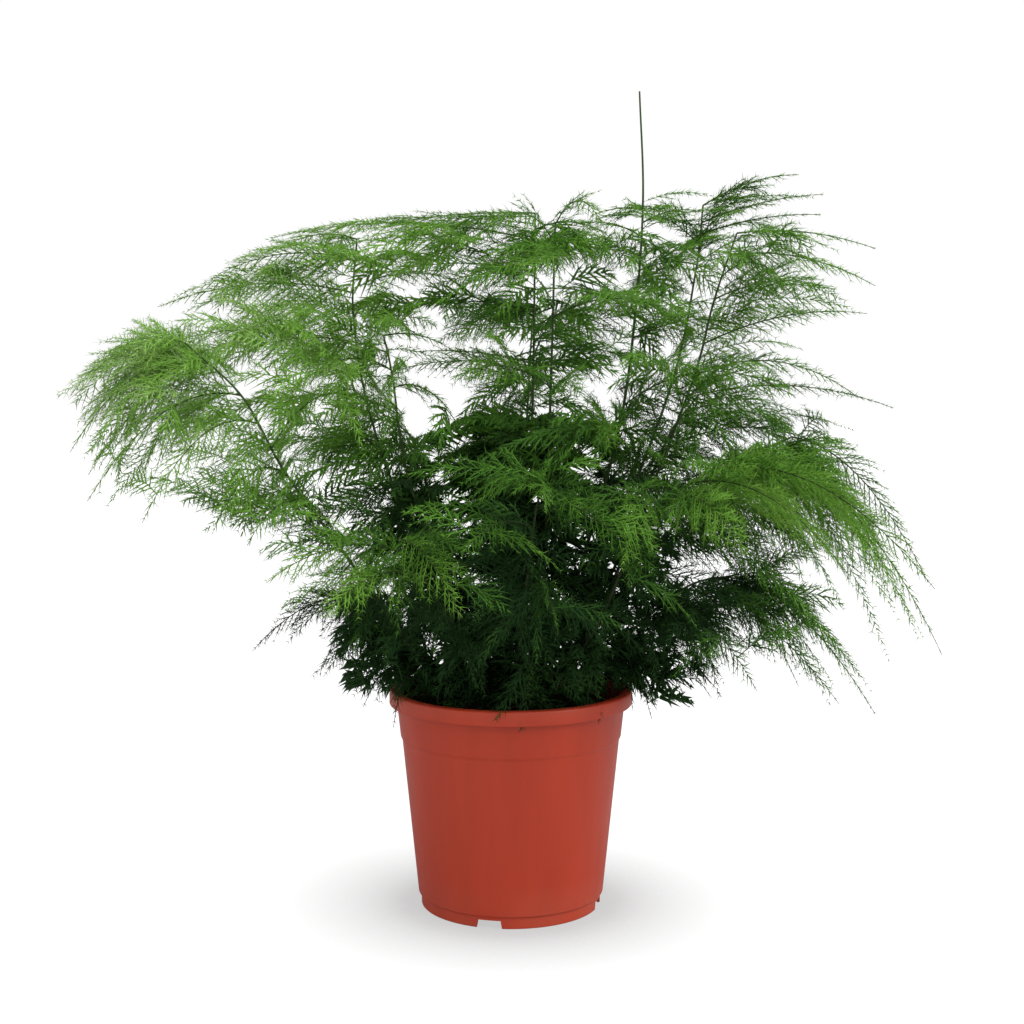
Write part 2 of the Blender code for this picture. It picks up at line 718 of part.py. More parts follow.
def stem_rings(path, marks, length):
    """Distances of a stem's rings: a pair at each spray and others between, where it curves."""
    places = [0.0, SOIL_CROWN + HOLE_DEPTH]
    for mark in sorted(marks) + [length]:
        gap = mark - places[-1]
        count = math.floor(gap / RING_SPACING)
        first = places[-1]
        places += [first + gap * step / (count + 1) for step in range(1, count + 1)]
        if mark < length:
            places += [mark - JOINT_LENGTH / 2, mark + JOINT_LENGTH / 2]
    return places + [length]


def grow_stem(stem, path, sprays, collection):
    length = length_of(path)
    marks = [spray.at * length for spray, *_ in sprays if spray.at < 1]
    places = stem_rings(path, marks, length)
    rings = []
    for place in places:
        point, forward = along(path, place)
        radius = STEM_RADIUS + (STEM_TIP_RADIUS - STEM_RADIUS) * place / length
        rings.append(ring(point, forward, FRONT, radius))
    bm = bmesh.new()
    last, verts = start_shoot(bm, rings[0], rings[1])
    joints = {}
    for place, corners in zip(places[2:], rings[2:]):
        last, verts = verts, grow(bm, verts, corners)
        for mark in marks:
            if abs(place - mark - JOINT_LENGTH / 2) < SAME_PLACE:
                joints[mark] = side_faces(bm, last, verts)
    starts = []
    for spray, rib, first, twigs in sprays:
        rng = random.Random(f"{stem.name} {spray.at} twigs")
        forward = along(rib, first)[1]
        if spray.at < 1:
            sides = joints[spray.at * length]
            for side in sides:
                side.normal_update()
            face = max(sides, key=lambda side: side.normal.dot(forward))
        else:
            face = turn_stem(bm, bm.faces.get(verts), path[-1], along(path, length)[1], forward)
        starts.append((face, rib, first, twigs, rng))
    if len(marks) == len(sprays):
        centre = bm.faces.get(verts)
        bmesh.ops.poke(bm, faces=[centre])["verts"][0].co = path[-1] + UP * 2 * STEM_TIP_RADIUS
    for start in starts:
        grow_spray(bm, *start)
    new_object(stem.name, bm, collection, finish("foliage"))


def main():
    clear_scene()
    collection = new_collection("potted asparagus fern")
    make_pot(collection)
    make_soil(collection)
    for stem, path, sprays in plan_plant():
        grow_stem(stem, path, sprays, collection)


main()
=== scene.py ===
"""The potted asparagus fern, dressed: its moulded pot, its soil, and each leafy stem with its needles.

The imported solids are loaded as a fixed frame, and each piece made here stands where its solid does. The
tables and the growing rules are in millimetres, and the settings and the finished meshes are in metres.
"""

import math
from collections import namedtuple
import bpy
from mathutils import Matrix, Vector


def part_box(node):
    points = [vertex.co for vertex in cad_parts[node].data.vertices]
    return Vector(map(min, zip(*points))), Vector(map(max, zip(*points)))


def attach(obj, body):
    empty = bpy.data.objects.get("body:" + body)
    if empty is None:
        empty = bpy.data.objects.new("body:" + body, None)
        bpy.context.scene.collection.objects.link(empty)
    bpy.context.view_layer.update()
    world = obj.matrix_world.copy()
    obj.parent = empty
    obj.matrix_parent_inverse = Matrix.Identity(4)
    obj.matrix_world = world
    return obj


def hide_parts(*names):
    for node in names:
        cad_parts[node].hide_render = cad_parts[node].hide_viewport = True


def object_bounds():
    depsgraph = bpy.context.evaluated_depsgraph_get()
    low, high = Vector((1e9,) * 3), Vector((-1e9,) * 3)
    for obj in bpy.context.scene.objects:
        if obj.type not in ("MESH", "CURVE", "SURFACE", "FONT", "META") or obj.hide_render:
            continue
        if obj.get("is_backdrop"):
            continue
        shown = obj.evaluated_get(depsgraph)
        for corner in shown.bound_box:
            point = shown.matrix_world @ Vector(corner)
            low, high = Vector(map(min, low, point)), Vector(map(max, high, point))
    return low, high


bl_info = {
    "name": "Potted asparagus fern",
    "version": (1, 0, 0),
    "blender": (4, 5, 0),
    "location": "View3D > Sidebar > Fern",
    "description": "Makes a potted asparagus fern piece by piece, and a plain studio for it",
    "category": "Add Mesh",
}

import bmesh
import bpy
import numpy as np
from bpy.props import FloatProperty, FloatVectorProperty, IntProperty, PointerProperty
from mathutils import Matrix, Vector, noise

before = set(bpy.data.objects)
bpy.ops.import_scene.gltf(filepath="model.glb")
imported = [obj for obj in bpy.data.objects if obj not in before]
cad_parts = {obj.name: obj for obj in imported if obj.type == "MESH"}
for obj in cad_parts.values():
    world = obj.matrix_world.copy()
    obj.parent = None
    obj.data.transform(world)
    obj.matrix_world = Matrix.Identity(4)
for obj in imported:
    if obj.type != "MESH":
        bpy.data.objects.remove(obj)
CAD_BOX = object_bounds()
POT_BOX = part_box("pot")

MM = 0.001
UP = np.array((0.0, 0.0, 1.0))

# The pot, as in the solids
RIM_RADIUS = 60.0
RIM_TOP = 108.0
RIM_BAND = 7.1
WALL = 1.6
NECK_RADIUS = 56.8
STEP_RADIUS = 54.5
STEP_HEIGHT = 84.8
STEP_DROP = 1.4
BODY_TOP_RADIUS = 53.7
BODY_FOOT_RADIUS = 45.9
FOOT_RADIUS = 44.5
FOOT_HEIGHT = 5.4
FOOT_SLOPE = 1.0
FLOOR_UNDER = 4.5
NOTCH_COUNT = 4
NOTCH_START = -103.5
NOTCH_WIDTH = 14.0
NOTCH_HEIGHT = 4.0
NOTCH_DEPTH = 10.0
NOTCH_TAPER = 0.8
DRAIN_RADIUS = 4.0
DRAIN_RINGS = ((34.0, 0.0), (20.0, 45.0))
DRAIN_SIDES = 32
POT_STEPS = 160
BEND_STEPS = 3
SHARP_EDGE = math.radians(35)

# The soil, as in the solids, and what lies on it
SOIL_TOP = 98.0
SOIL_CROWN = 2.5
SOIL_EDGE_DROP = 1.0
SEAT_GAP = 0.3
SOIL_RINGS = 36
SOIL_STEPS = 120
LUMPS = ((14.0, 1.6), (4.5, 0.9), (1.6, 0.4))
CRUMBS = 320
CRUMB_RADIUS = (0.4, 1.5)
CRUMB_SIZES = (0.5, 1.0)
CRUMB_SQUASH = (0.6, 1.2)
CRUMB_REACH = 0.96
CRUMB_RISE = 0.3
STRAWS = 46
STRAW_LENGTH = (6, 18)
STRAW_RADIUS = 0.16
STRAW_SIZES = (0.6, 1.4)
STRAW_TAPER = 0.6
STRAW_REACH = 0.9
STRAW_LIFT = 0.2
STRAW_TIP_LIFT = (0, 5)
STRAW_ARCH = (2, 12)
STRAW_POINTS = 6
STRAW_CLEAR = 2.0

# Heights in metres between which painted light bounced from the floor fades up from the foot, a painted pale
# sheen gathers on the rim, and bark turns green
FOOT_BOUNCE = (0.0, 0.022)
RIM_SHEEN = (0.099, 0.109)
BARK_TO_GREEN = (0.105, 0.265)

# The studio: where its broad light comes from, and how its floor and backdrop look
SUN_FROM = (0.95, -0.55, 1.3)
FLOOR_REACH = 6.0
FLOOR_IN_LIGHT = (0.5, 0.5, 0.5)
FLOOR_IN_VIEW = (0.12, 0.12, 0.12)
OPEN_SHARES = (0.62, 0.97)
BACKDROP = 1.02
CAMERA_ASIDE = 0.0006
SENSOR_WIDTH = 36.0

# Skeleton of the plant, as in the solids
COLLAR = 1.0
HOLE_DEPTH = 20.0
SAMPLE = 3.0
CLEARANCE = 6.8
NEAR_STEM = 15.0
BARE_STEM = -1
FEWEST_RIB_STEPS = 6
BENDS = ((0, 0), (8, 0), (-7, 0), (0, 9), (0, -9), (14, 6), (14, -6), (20, 0), (-12, 8), (-12, -8))
OUTLINE_TAPER = 0.75
OUTLINE_AT_STEM = 0.5
OUTLINE_WIDEST = 0.3

# A spray leaves its stem at a share of the stem's length and ends at its tip. Its rib arches by this
# much, and its widest twigs are as long as its spread. The fresher it is, the yellower its green.
Spray = namedtuple("Spray", "at tip arch spread fresh", defaults=(0.55,))
Stem = namedtuple("Stem", "name foot points sprays")

STEMS = (
    Stem("stem_tall_centre", (4, 8), ((8, 12, 155), (11, 14, 255), (12, 15, 341)), (
        Spray(1.00, (-62, 40, 338), 2, 16),
        Spray(0.97, (50, 0, 327), 6, 20),
        Spray(0.95, (-122, 45, 331), 8, 26),
        Spray(0.93, (25, 115, 321), 9, 30),
        Spray(0.91, (30, -80, 313), 8, 30),
        Spray(0.89, (-62, -12, 310), 5, 26),
        Spray(0.82, (-52, 25, 295), 4, 22),
        Spray(0.79, (62, 45, 291), 6, 24),
        Spray(0.72, (-48, -18, 273), 3, 16),
    )),
    Stem("stem_bare_shoot", (14, -4), (
        (30, -6, 155), (52, -9, 235), (60, -10, 295), (63, -10, 346), (61, -10, 396)), (
        Spray(0.83, (38, -4, 338), 2, 10),
        Spray(0.81, (92, 4, 341), 3, 14),
        Spray(0.79, (28, -24, 332), 4, 16),
        Spray(0.76, (30, -55, 313), 6, 24, 0.7),
        Spray(0.74, (98, -62, 305), 6, 26),
        Spray(0.71, (72, 60, 311), 6, 26),
        Spray(0.68, (8, -40, 301), 5, 22),
        Spray(0.64, (112, -20, 285), 6, 24),
        Spray(0.54, (126, -78, 253), 14, 40),
        Spray(0.47, (38, -92, 237), 10, 32, 0.7),
    )),
    Stem("stem_right_high", (18, 10), ((45, 16, 165), (80, 25, 255), (93, 30, 315), (96, 30, 346)), (
        Spray(1.00, (145, 38, 362), 4, 16),
        Spray(0.97, (159, 46, 353), 3, 10),
        Spray(0.95, (154, 24, 341), 3, 12),
        Spray(0.93, (68, 8, 340), 3, 14),
        Spray(0.91, (105, 115, 331), 8, 28),
        Spray(0.86, (58, 12, 317), 4, 18),
        Spray(0.79, (66, -2, 289), 4, 18),
        Spray(0.74, (130, 95, 283), 8, 30),
    )),
    Stem("stem_right_lean", (22, -8), ((50, -18, 165), (84, -28, 255), (95, -30, 297), (105, -32, 328)), (
        Spray(1.00, (170, -30, 321), 4, 14, 0.7),
        Spray(0.96, (166, -50, 303), 6, 22, 0.75),
        Spray(0.92, (115, -115, 301), 8, 30),
        Spray(0.88, (150, -5, 305), 5, 20, 0.65),
        Spray(0.80, (167, -28, 291), 6, 16, 0.75),
        Spray(0.74, (161, -42, 252), 12, 20, 0.5),
        Spray(0.68, (62, -88, 267), 8, 26),
    )),
    Stem("stem_right_back", (20, 20), ((50, 40, 155), (80, 55, 225), (98, 60, 251)), (
        Spray(1.00, (200, 60, 244), 8, 16),
        Spray(0.94, (160, 120, 227), 10, 32),
        Spray(0.88, (110, 155, 217), 10, 34),
        Spray(0.82, (161, 26, 224), 12, 26),
    )),
    Stem("stem_right_arch", (26, 4), ((60, 10, 155), (100, 15, 210), (140, 18, 231)), (
        Spray(1.00, (211, 22, 157), 16, 26),
        Spray(0.92, (196, 72, 171), 14, 32),
        Spray(0.86, (180, -22, 169), 14, 26),
        Spray(0.76, (150, 105, 183), 12, 34),
    )),
    Stem("stem_right_front", (16, -16), ((40, -42, 145), (64, -64, 200), (100, -74, 227)), (
        Spray(1.00, (203, -40, 131), 26, 28, 0.6),
        Spray(0.94, (185, -95, 170), 18, 34, 0.9),
        Spray(0.87, (140, -132, 181), 14, 36, 1.0),
        Spray(0.79, (95, -152, 191), 12, 34, 0.9),
        Spray(0.70, (122, -30, 195), 10, 28),
        Spray(0.60, (50, -118, 173), 12, 30, 0.6),
    )),
    Stem("stem_right_low", (30, -4), ((55, -8, 133), (85, -10, 159), (108, -10, 165)), (
        Spray(1.00, (178, -12, 97), 12, 20, 0.5),
        Spray(0.90, (148, 32, 102), 12, 20),
        Spray(0.80, (150, -65, 113), 12, 28, 0.6),
        Spray(0.68, (108, -95, 125), 12, 30, 0.6),
        Spray(0.58, (120, 85, 117), 12, 30),
    )),
    Stem("stem_right_rim", (34, 12), ((46, 16, 115), (60, 19, 129)), (
        Spray(1.00, (102, 22, 98), 9, 14),
        Spray(0.82, (68, -24, 97), 10, 10),
        Spray(0.66, (72, 56, 97), 11, 14),
    )),
    Stem("stem_front_mid", (2, -18), ((5, -50, 145), (10, -80, 195), (13, -92, 213)), (
        Spray(1.00, (14, -157, 209), 8, 22, 0.5),
        Spray(0.94, (54, -146, 185), 10, 24, 0.55),
        Spray(0.86, (-20, -150, 191), 8, 26, 0.4),
        Spray(0.70, (20, -125, 155), 10, 28),
    )),
    Stem("stem_front_left", (-8, -16), ((-22, -45, 135), (-40, -74, 175), (-50, -84, 191)), (
        Spray(1.00, (-20, -132, 162), 8, 30, 1.0),
        Spray(0.92, (-104, -110, 175), 10, 34, 0.9),
        Spray(0.82, (-78, -138, 163), 10, 32, 1.0),
        Spray(0.66, (-92, -62, 153), 8, 24),
    )),
    Stem("stem_front_rim", (8, -32), ((10, -40, 117), (10, -43, 131)), (
        Spray(1.00, (8, -54, 113), 3, 7, 0.8),
        Spray(0.86, (28, -50, 115), 4, 7, 0.7),
    )),
    Stem("stem_left_mid", (-8, -2), ((-30, -6, 155), (-50, -9, 215), (-57, -10, 262), (-61, -10, 281)), (
        Spray(1.00, (-26, -20, 273), 4, 10),
        Spray(0.96, (-122, -20, 275), 6, 26, 0.6),
        Spray(0.92, (-95, -95, 255), 10, 32, 0.65),
        Spray(0.88, (-26, -64, 245), 6, 20),
        Spray(0.82, (-108, 32, 249), 6, 26),
    )),
    Stem("stem_centre_thin", (10, -8), ((16, -16, 165), (19, -20, 255), (21, -20, 333)), (
        Spray(1.00, (42, -66, 327), 4, 20),
        Spray(0.96, (-24, -74, 314), 3, 24),
        Spray(0.83, (72, -88, 289), 8, 26, 0.6),
        Spray(0.70, (-26, -98, 261), 8, 30, 0.6),
    )),
    Stem("stem_far_left", (-16, -8), (
        (-45, -22, 129), (-79, -40, 181), (-104, -52, 219), (-122, -57, 253), (-148, -52, 277)), (
        Spray(1.00, (-211, -15, 252), 12, 34, 0.5),
        Spray(0.94, (-203, -48, 227), 16, 40, 0.65),
        Spray(0.90, (-197, 2, 269), 12, 30, 0.5),
        Spray(0.86, (-188, -78, 207), 16, 34, 0.7),
        Spray(0.80, (-160, -96, 199), 16, 34, 0.6),
        Spray(0.75, (-72, -88, 255), 8, 28, 0.6),
        Spray(0.69, (-128, -106, 195), 14, 30, 0.5),
        Spray(0.60, (-112, -112, 191), 12, 26, 0.5),
        Spray(0.52, (-140, -18, 195), 10, 28),
    )),
    Stem("stem_left_back", (-10, 12), ((-40, 28, 155), (-70, 38, 235), (-80, 40, 290), (-78, 40, 330)), (
        Spray(1.00, (-122, 74, 327), 5, 24),
        Spray(0.96, (-150, 50, 313), 7, 28, 0.5),
        Spray(0.94, (-40, 88, 321), 6, 26),
        Spray(0.90, (-180, 42, 296), 8, 26, 0.5),
        Spray(0.85, (-70, 135, 299), 8, 32),
        Spray(0.80, (-192, 56, 273), 10, 28),
        Spray(0.74, (-130, 125, 261), 12, 36),
    )),
    Stem("stem_left_low", (-26, 4), ((-46, 12, 121), (-64, 17, 143), (-78, 20, 151)), (
        Spray(1.00, (-132, 28, 121), 8, 24, 0.1),
        Spray(0.86, (-112, -10, 149), 6, 20, 0.2),
        Spray(0.74, (-88, -42, 121), 8, 22, 0.1),
        Spray(0.62, (-100, 80, 119), 10, 28, 0.1),
    )),
    Stem("stem_left_rim", (-34, -10), ((-46, -15, 113), (-56, -20, 121)), (
        Spray(1.00, (-71, -24, 103), 5, 10, 0.1),
        Spray(0.80, (-54, -60, 101), 10, 12, 0.2),
    )),
    Stem("stem_back_left", (-12, 24), ((-35, 60, 165), (-50, 85, 219), (-62, 100, 235)), (
        Spray(1.00, (-125, 150, 201), 12, 36),
        Spray(0.93, (-65, 156, 205), 10, 32),
        Spray(0.87, (-158, 105, 209), 12, 34),
        Spray(0.76, (-18, 150, 205), 12, 34),
    )),
    Stem("stem_back_mid", (2, 28), ((6, 60, 185), (10, 80, 265), (12, 88, 295)), (
        Spray(1.00, (-32, 150, 277), 8, 32),
        Spray(0.95, (50, 158, 273), 8, 32),
        Spray(0.90, (68, 96, 267), 6, 24),
        Spray(0.85, (-62, 98, 263), 6, 26),
        Spray(0.78, (10, 157, 237), 12, 36),
    )),
    Stem("stem_back_right", (16, 30), ((40, 62, 155), (64, 88, 205), (80, 98, 219)), (
        Spray(1.00, (135, 145, 175), 12, 34),
        Spray(0.92, (70, 156, 183), 12, 32),
        Spray(0.84, (168, 95, 163), 12, 32),
    )),
    Stem("stem_back_low", (0, 38), ((-5, 52, 125), (-8, 62, 139)), (
        Spray(1.00, (-62, 112, 109), 12, 30),
        Spray(0.86, (5, 132, 109), 12, 30),
        Spray(0.72, (58, 104, 111), 12, 28),
    )),
)

# More sprays, which only the dressed plant has
MORE_SPRAYS = {
    "stem_right_arch": (
        Spray(0.80, (165, -5, 145), 14, 24, 0.6),
        Spray(0.66, (140, -40, 140), 14, 24, 0.6),
        Spray(0.98, (200, -10, 131), 16, 22, 0.6),
        Spray(0.96, (190, 0, 146), 14, 26, 0.6),
        Spray(0.94, (186, -6, 121), 14, 22, 0.5),
        Spray(0.90, (168, 4, 164), 12, 26, 0.6),
        Spray(0.70, (150, -20, 170), 10, 28, 0.6),
        Spray(0.62, (130, -45, 172), 10, 28, 0.6),
    ),
    "stem_right_front": (
        Spray(1.00, (190, -60, 141), 20, 26, 0.8),
        Spray(0.97, (178, -60, 150), 18, 26, 0.8),
        Spray(0.90, (160, -50, 163), 16, 30, 0.8),
        Spray(0.84, (135, -60, 168), 14, 30, 0.8),
        Spray(0.75, (150, -75, 135), 16, 28, 0.6),
        Spray(0.65, (130, -60, 161), 12, 28, 0.6),
        Spray(0.55, (120, -70, 150), 12, 26, 0.5),
    ),
    "stem_right_low": (
        Spray(1.00, (150, -30, 138), 12, 26, 0.5),
        Spray(0.98, (172, -30, 112), 12, 22, 0.5),
        Spray(0.92, (160, -2, 108), 12, 22, 0.5),
        Spray(0.95, (165, -45, 120), 12, 22, 0.5),
        Spray(0.62, (100, -50, 118), 10, 22, 0.4),
    ),
    "stem_right_rim": (
        Spray(0.95, (66, -10, 99), 12, 12, 0.1),
        Spray(0.90, (58, -36, 102), 12, 14, 0.1),
        Spray(0.70, (54, 34, 106), 10, 14, 0.1),
    ),
    "stem_right_back": (
        Spray(0.90, (168, 0, 235), 8, 18),
    ),
    "stem_right_high": (
        Spray(0.93, (70, 30, 343), 8, 24, 0.2),
        Spray(0.97, (128, 20, 350), 10, 24, 0.2),
        Spray(0.90, (100, -20, 340), 8, 24, 0.2),
        Spray(1.00, (132, 30, 356), 3, 16),
        Spray(1.00, (152, 22, 349), 3, 14),
        Spray(0.99, (124, 36, 350), 3, 14),
        Spray(0.97, (138, 50, 348), 3, 14),
        Spray(0.98, (125, 10, 350), 3, 16),
        Spray(0.96, (60, 25, 340), 2, 16),
        Spray(0.95, (112, -6, 340), 3, 16),
        Spray(0.90, (142, 8, 336), 4, 16),
    ),
    "stem_right_lean": (
        Spray(0.50, (46, -48, 250), 10, 26, 0.4),
        Spray(0.86, (160, -40, 292), 6, 22, 0.7),
        Spray(0.84, (150, 10, 290), 6, 22, 0.65),
    ),
    "stem_bare_shoot": (
        Spray(0.47, (34, -50, 250), 8, 26, 0.4),
        Spray(0.50, (66, 26, 256), 6, 26, 0.3),
        Spray(0.84, (96, -10, 347), 3, 14),
        Spray(0.82, (84, 22, 344), 3, 14),
        Spray(0.80, (78, -28, 337), 3, 14),
        Spray(0.82, (36, 14, 336), 2, 14),
        Spray(0.83, (64, 22, 343), 2, 16),
        Spray(0.825, (54, -34, 340), 2, 14),
        Spray(0.80, (102, -22, 340), 3, 16),
    ),
    "stem_tall_centre": (
        Spray(0.98, (-118, 20, 330), 6, 22),
        Spray(0.97, (-96, -6, 326), 6, 22),
    ),
    "stem_left_back": (
        Spray(0.98, (-140, 10, 316), 6, 24),
        Spray(0.93, (-168, 20, 300), 8, 26),
        Spray(0.89, (-158, -8, 292), 8, 28),
        Spray(0.86, (-138, 6, 286), 8, 28),
    ),
    "stem_left_mid": (
        Spray(1.00, (-125, -40, 292), 6, 24),
        Spray(0.98, (-142, -12, 282), 8, 26),
        Spray(0.55, (-84, -46, 207), 8, 26, 0.3),
    ),
    "stem_far_left": (
        Spray(1.00, (-170, -70, 268), 8, 26),
        Spray(0.98, (-204, 0, 262), 10, 28),
        Spray(0.97, (-206, -36, 246), 12, 36, 0.6),
        Spray(0.96, (-205, -30, 238), 12, 32, 0.65),
        Spray(0.95, (-206, -8, 238), 12, 36, 0.6),
        Spray(0.94, (-208, -52, 252), 10, 32, 0.65),
        Spray(0.92, (-198, -40, 214), 14, 32, 0.65),
        Spray(0.88, (-205, -20, 221), 14, 36, 0.65),
        Spray(0.84, (-184, -60, 202), 14, 30, 0.65),
    ),
    "stem_front_left": (
        Spray(0.98, (-76, -84, 204), 6, 24, 0.4),
    ),
    "stem_left_low": (
        Spray(0.92, (-92, -20, 118), 8, 22, 0.1),
        Spray(0.84, (-96, 6, 131), 8, 24, 0.1),
        Spray(0.78, (-84, -36, 134), 8, 24, 0.1),
        Spray(0.66, (-74, -46, 112), 8, 20, 0.1),
        Spray(0.50, (-74, -8, 110), 10, 20, 0.1),
    ),
    "stem_left_rim": (
        Spray(0.98, (-64, -40, 108), 6, 16, 0.1),
        Spray(0.94, (-64, -6, 100), 10, 14, 0.1),
        Spray(0.88, (-56, -34, 101), 10, 14, 0.1),
        Spray(0.70, (-58, 16, 102), 12, 14, 0.1),
    ),
}

# Stems, ribs and twigs
STEM_RADIUS = 1.0
STEM_TIP_RADIUS = 0.42
RIB_RADIUS = 0.42
SHOOT_TIP = 0.3
RIB_STEP = 7.0
FEWEST_WOOD_STEPS = 4
FILLER_RIB_RADIUS = 0.36

# How the side shoots of each order stand. A spacing is that between neighbours on both sides together,
# and angles are in degrees. They close by this much from the root of the parent to its tip.
Habit = namedtuple("Habit", "spacing clear angle closing angle_varies tilt curl droop")
TWIGS = Habit(2.0, 4.0, 50, 22, 8, 0.16, 0.24, 0.24)
FINE_SPRIGS = Habit(1.35, 1.6, 40, 8, 12, 0.26, 0.12, 0.05)
FULL_SPRIGS = Habit(1.8, 1.6, 42, 8, 12, 0.28, 0.12, 0.05)
CORE_SPRIGS = Habit(2.2, 1.6, 42, 8, 12, 0.35, 0.12, 0.05)
SPRIG_SHARE = 0.3
SPRIG_MORE = 2.5
SPRIG_TAPER = 0.7
LONGEST_SPRIG = 9.0
SHORTEST_SPRIG = 2.5
SHORTEST_TWIG = 2.5
LONG_TWIG = 18.0
BENT_TWIG = 8.0
IN_ITS_PLACE = (0.1, 0.9)
REACH_VARIES = (0.72, 1.08)

# Needles lean towards the tip of what they grow on, in degrees, and are shorter there
NEEDLE_LEAN = 48.0
LEAN_VARIES = 9.0
ROLL_VARIES = 38.0
NEEDLE_LONGEST = 1.05
NEEDLE_SHORTENS = 0.45
NEEDLE_VARIES = (0.75, 1.2)
UNEVEN = (-0.15, 0.15)

# How much fresher shoots and needles are at the tip of their parent, and how much they vary
SHOOT_FRESHER = 0.22
SHOOT_OLDER = 0.08
SHOOT_GREENS = 0.05
NEEDLE_FRESHER = 0.15
NEEDLE_GREENS = 0.06

# What a spray carries: half widths of its twigs and sprigs, how the sprigs stand, and the spacing of the
# pairs of needles on the rib, on the twigs and on the sprigs
Grade = namedtuple("Grade", "twig_width sprig_width sprigs pairs")
FINE = Grade(0.38, 0.27, FINE_SPRIGS, (2.0, 3.2, 14.0))
PLAIN = Grade(0.50, 0.38, FULL_SPRIGS, (2.6, 4.4, 14.0))
DENSE = Grade(0.85, 0.55, FULL_SPRIGS, (4.0, 9.0, 14.0))
CORE = Grade(1.50, 1.10, CORE_SPRIGS, (8.0, 16.0, 14.0))
THICKNESS = 0.35

# How far the face of a spray leans to one side, in degrees: little at the crown and more lower down
CROWN_HEIGHT = 315.0
CROWN_ROLL = (5, 30)
BODY_ROLL = (28, 64)
OUTWARD_SHARE = 0.85
FRONT_BEFORE = 10.0

# Shorter sprays beside each spray of the solids, turned about the stem from it
COMPANION_TURN = (20, 45)
COMPANION_REACH = (0.65, 0.92)
COMPANION_SHIFT = (-9, 3)
COMPANION_DROP = (-9, 0)
COMPANION_SPREAD = (0.85, 1.0)
COMPANION_OLDER = 0.1

# Filling sprays: one ends near each place of a lattice in the canopy, and starts on the closest shoot
# that it can leave outward and about level. Rises are shares of the reach.
FILL_CELLS = ((96, 155, 20.0), (155, 230, 27.0), (230, 340, 29.0))
FILL_JITTER = 0.35
FILL_REACH = (30, 85)
FILL_EDGE = 0.95
FILL_OUTWARD = 0.15
FILL_RISE = (-0.55, 0.30)
FILL_RISE_LOW = (-0.85, 0.40)
FILL_LOW = 155.0
FILL_ARCH = 5.0
FILL_SPREAD = (15, 23)
FILL_FRESH = 0.25
# Filling sprays are lighter green the further out they end: partly as fresher outer growth, partly as
# painted shade deep in the canopy
FILL_OUTWARD_LIGHTER = 0.35
FILL_GREENS = 0.1
DEEP = 0.6

# Sprays of old needles that close the middle of the plant, in an upright oval round its axis
CORE_AT = (4.0, 4.0)
CORE_SIZE = (96.0, 62.0)
CORE_HEIGHTS = (104, 240)
CORE_CELL = 12.9
CORE_REACH = (16, 60)
CORE_RISE = (-0.7, 0.7)
CORE_SPREAD = (12, 19)
CORE_FRESH = (0.16, 0.50)
CORE_TAPER = 0.5

# They leave the soil in sight in front of this place and below this height
SOIL_SHOWN = (-16.0, 116.0)

# The canopy's radius to the left, to the right, and to the front and back at each height
CANOPY_HEIGHTS = (93, 108, 125, 152, 179, 211, 250, 270, 295, 315, 330, 341, 355)
CANOPY_LEFT = (60, 69, 100, 100, 135, 205, 213, 199, 177, 145, 118, 62, 0)
CANOPY_RIGHT = (70, 100, 130, 180, 190, 180, 175, 160, 165, 170, 165, 140, 0)
CANOPY_DEEP = (62, 80, 110, 135, 150, 158, 155, 150, 140, 125, 105, 70, 0)

# The needles are darker round this axis, by this much below these heights, and less so further out: partly
# as older needles, and partly as painted shade under the canopy
DARK_X = 12.0
DARK_RADIUS = 150.0
DARK_FADE = 60.0
DARK_BELOW = 265.0
DARK_DEPTH = 100.0
DARK_BY = 0.70
DARK_ALL_ROUND = 0.2

# They are painted lighter on the left, as light that comes through the thin foliage there, the more so the
# further out and the higher up
LIT_THROUGH_LEFT = (20.0, 120.0)
LIT_THROUGH_ABOVE = (180.0, 250.0)
LIT_THROUGH_BY = 0.55

# Gaps between the tiers that reach through the plant from front to back: x, z and half their size
Gap = namedtuple("Gap", "x z wide tall")
GAPS = (
    Gap(-30, 267, 26, 18),
    Gap(118, 272, 22, 14),
)

Fillers = namedtuple("Fillers", "outer deep core")
Arcs = namedtuple("Arcs", "start run bend face length width fresh")


class FoliageSettings(bpy.types.PropertyGroup):
    """Sizes and greens of the foliage."""

    needle: FloatProperty(
        name="Needle length", description="Length of a full-grown needle",
        default=4.0 * MM, min=1 * MM, max=10 * MM, unit="LENGTH", subtype="DISTANCE")
    needle_radius: FloatProperty(
        name="Needle radius", description="Radius of a needle at its foot",
        default=0.22 * MM, min=0.02 * MM, max=1 * MM, unit="LENGTH", subtype="DISTANCE")
    old_green: FloatVectorProperty(
        name="Old green", description="Colour of the oldest needles, in the middle of the plant",
        default=(0.024, 0.068, 0.018), subtype="COLOR", min=0, max=1)
    mid_green: FloatVectorProperty(
        name="Mid green", description="Colour of most needles",
        default=(0.092, 0.240, 0.028), subtype="COLOR", min=0, max=1)
    fresh_green: FloatVectorProperty(
        name="Fresh green", description="Colour of young needles",
        default=(0.235, 0.490, 0.068), subtype="COLOR", min=0, max=1)
    # Painted light: the palest green stands for light that comes through the thin needles
    lit_through_green: FloatVectorProperty(
        name="Pale green", description="Colour of the youngest needles, which light comes through",
        default=(0.36, 0.58, 0.17), subtype="COLOR", min=0, max=1)
    stem_green: FloatVectorProperty(
        name="Stem green", description="Colour of the upper stems and of the ribs",
        default=(0.040, 0.070, 0.022), subtype="COLOR", min=0, max=1)
    bark: FloatVectorProperty(
        name="Bark", description="Colour of the woody feet of the stems",
        default=(0.024, 0.018, 0.011), subtype="COLOR", min=0, max=1)
    seed: IntProperty(name="Seed", description="Start of the random draws", default=7, min=0)


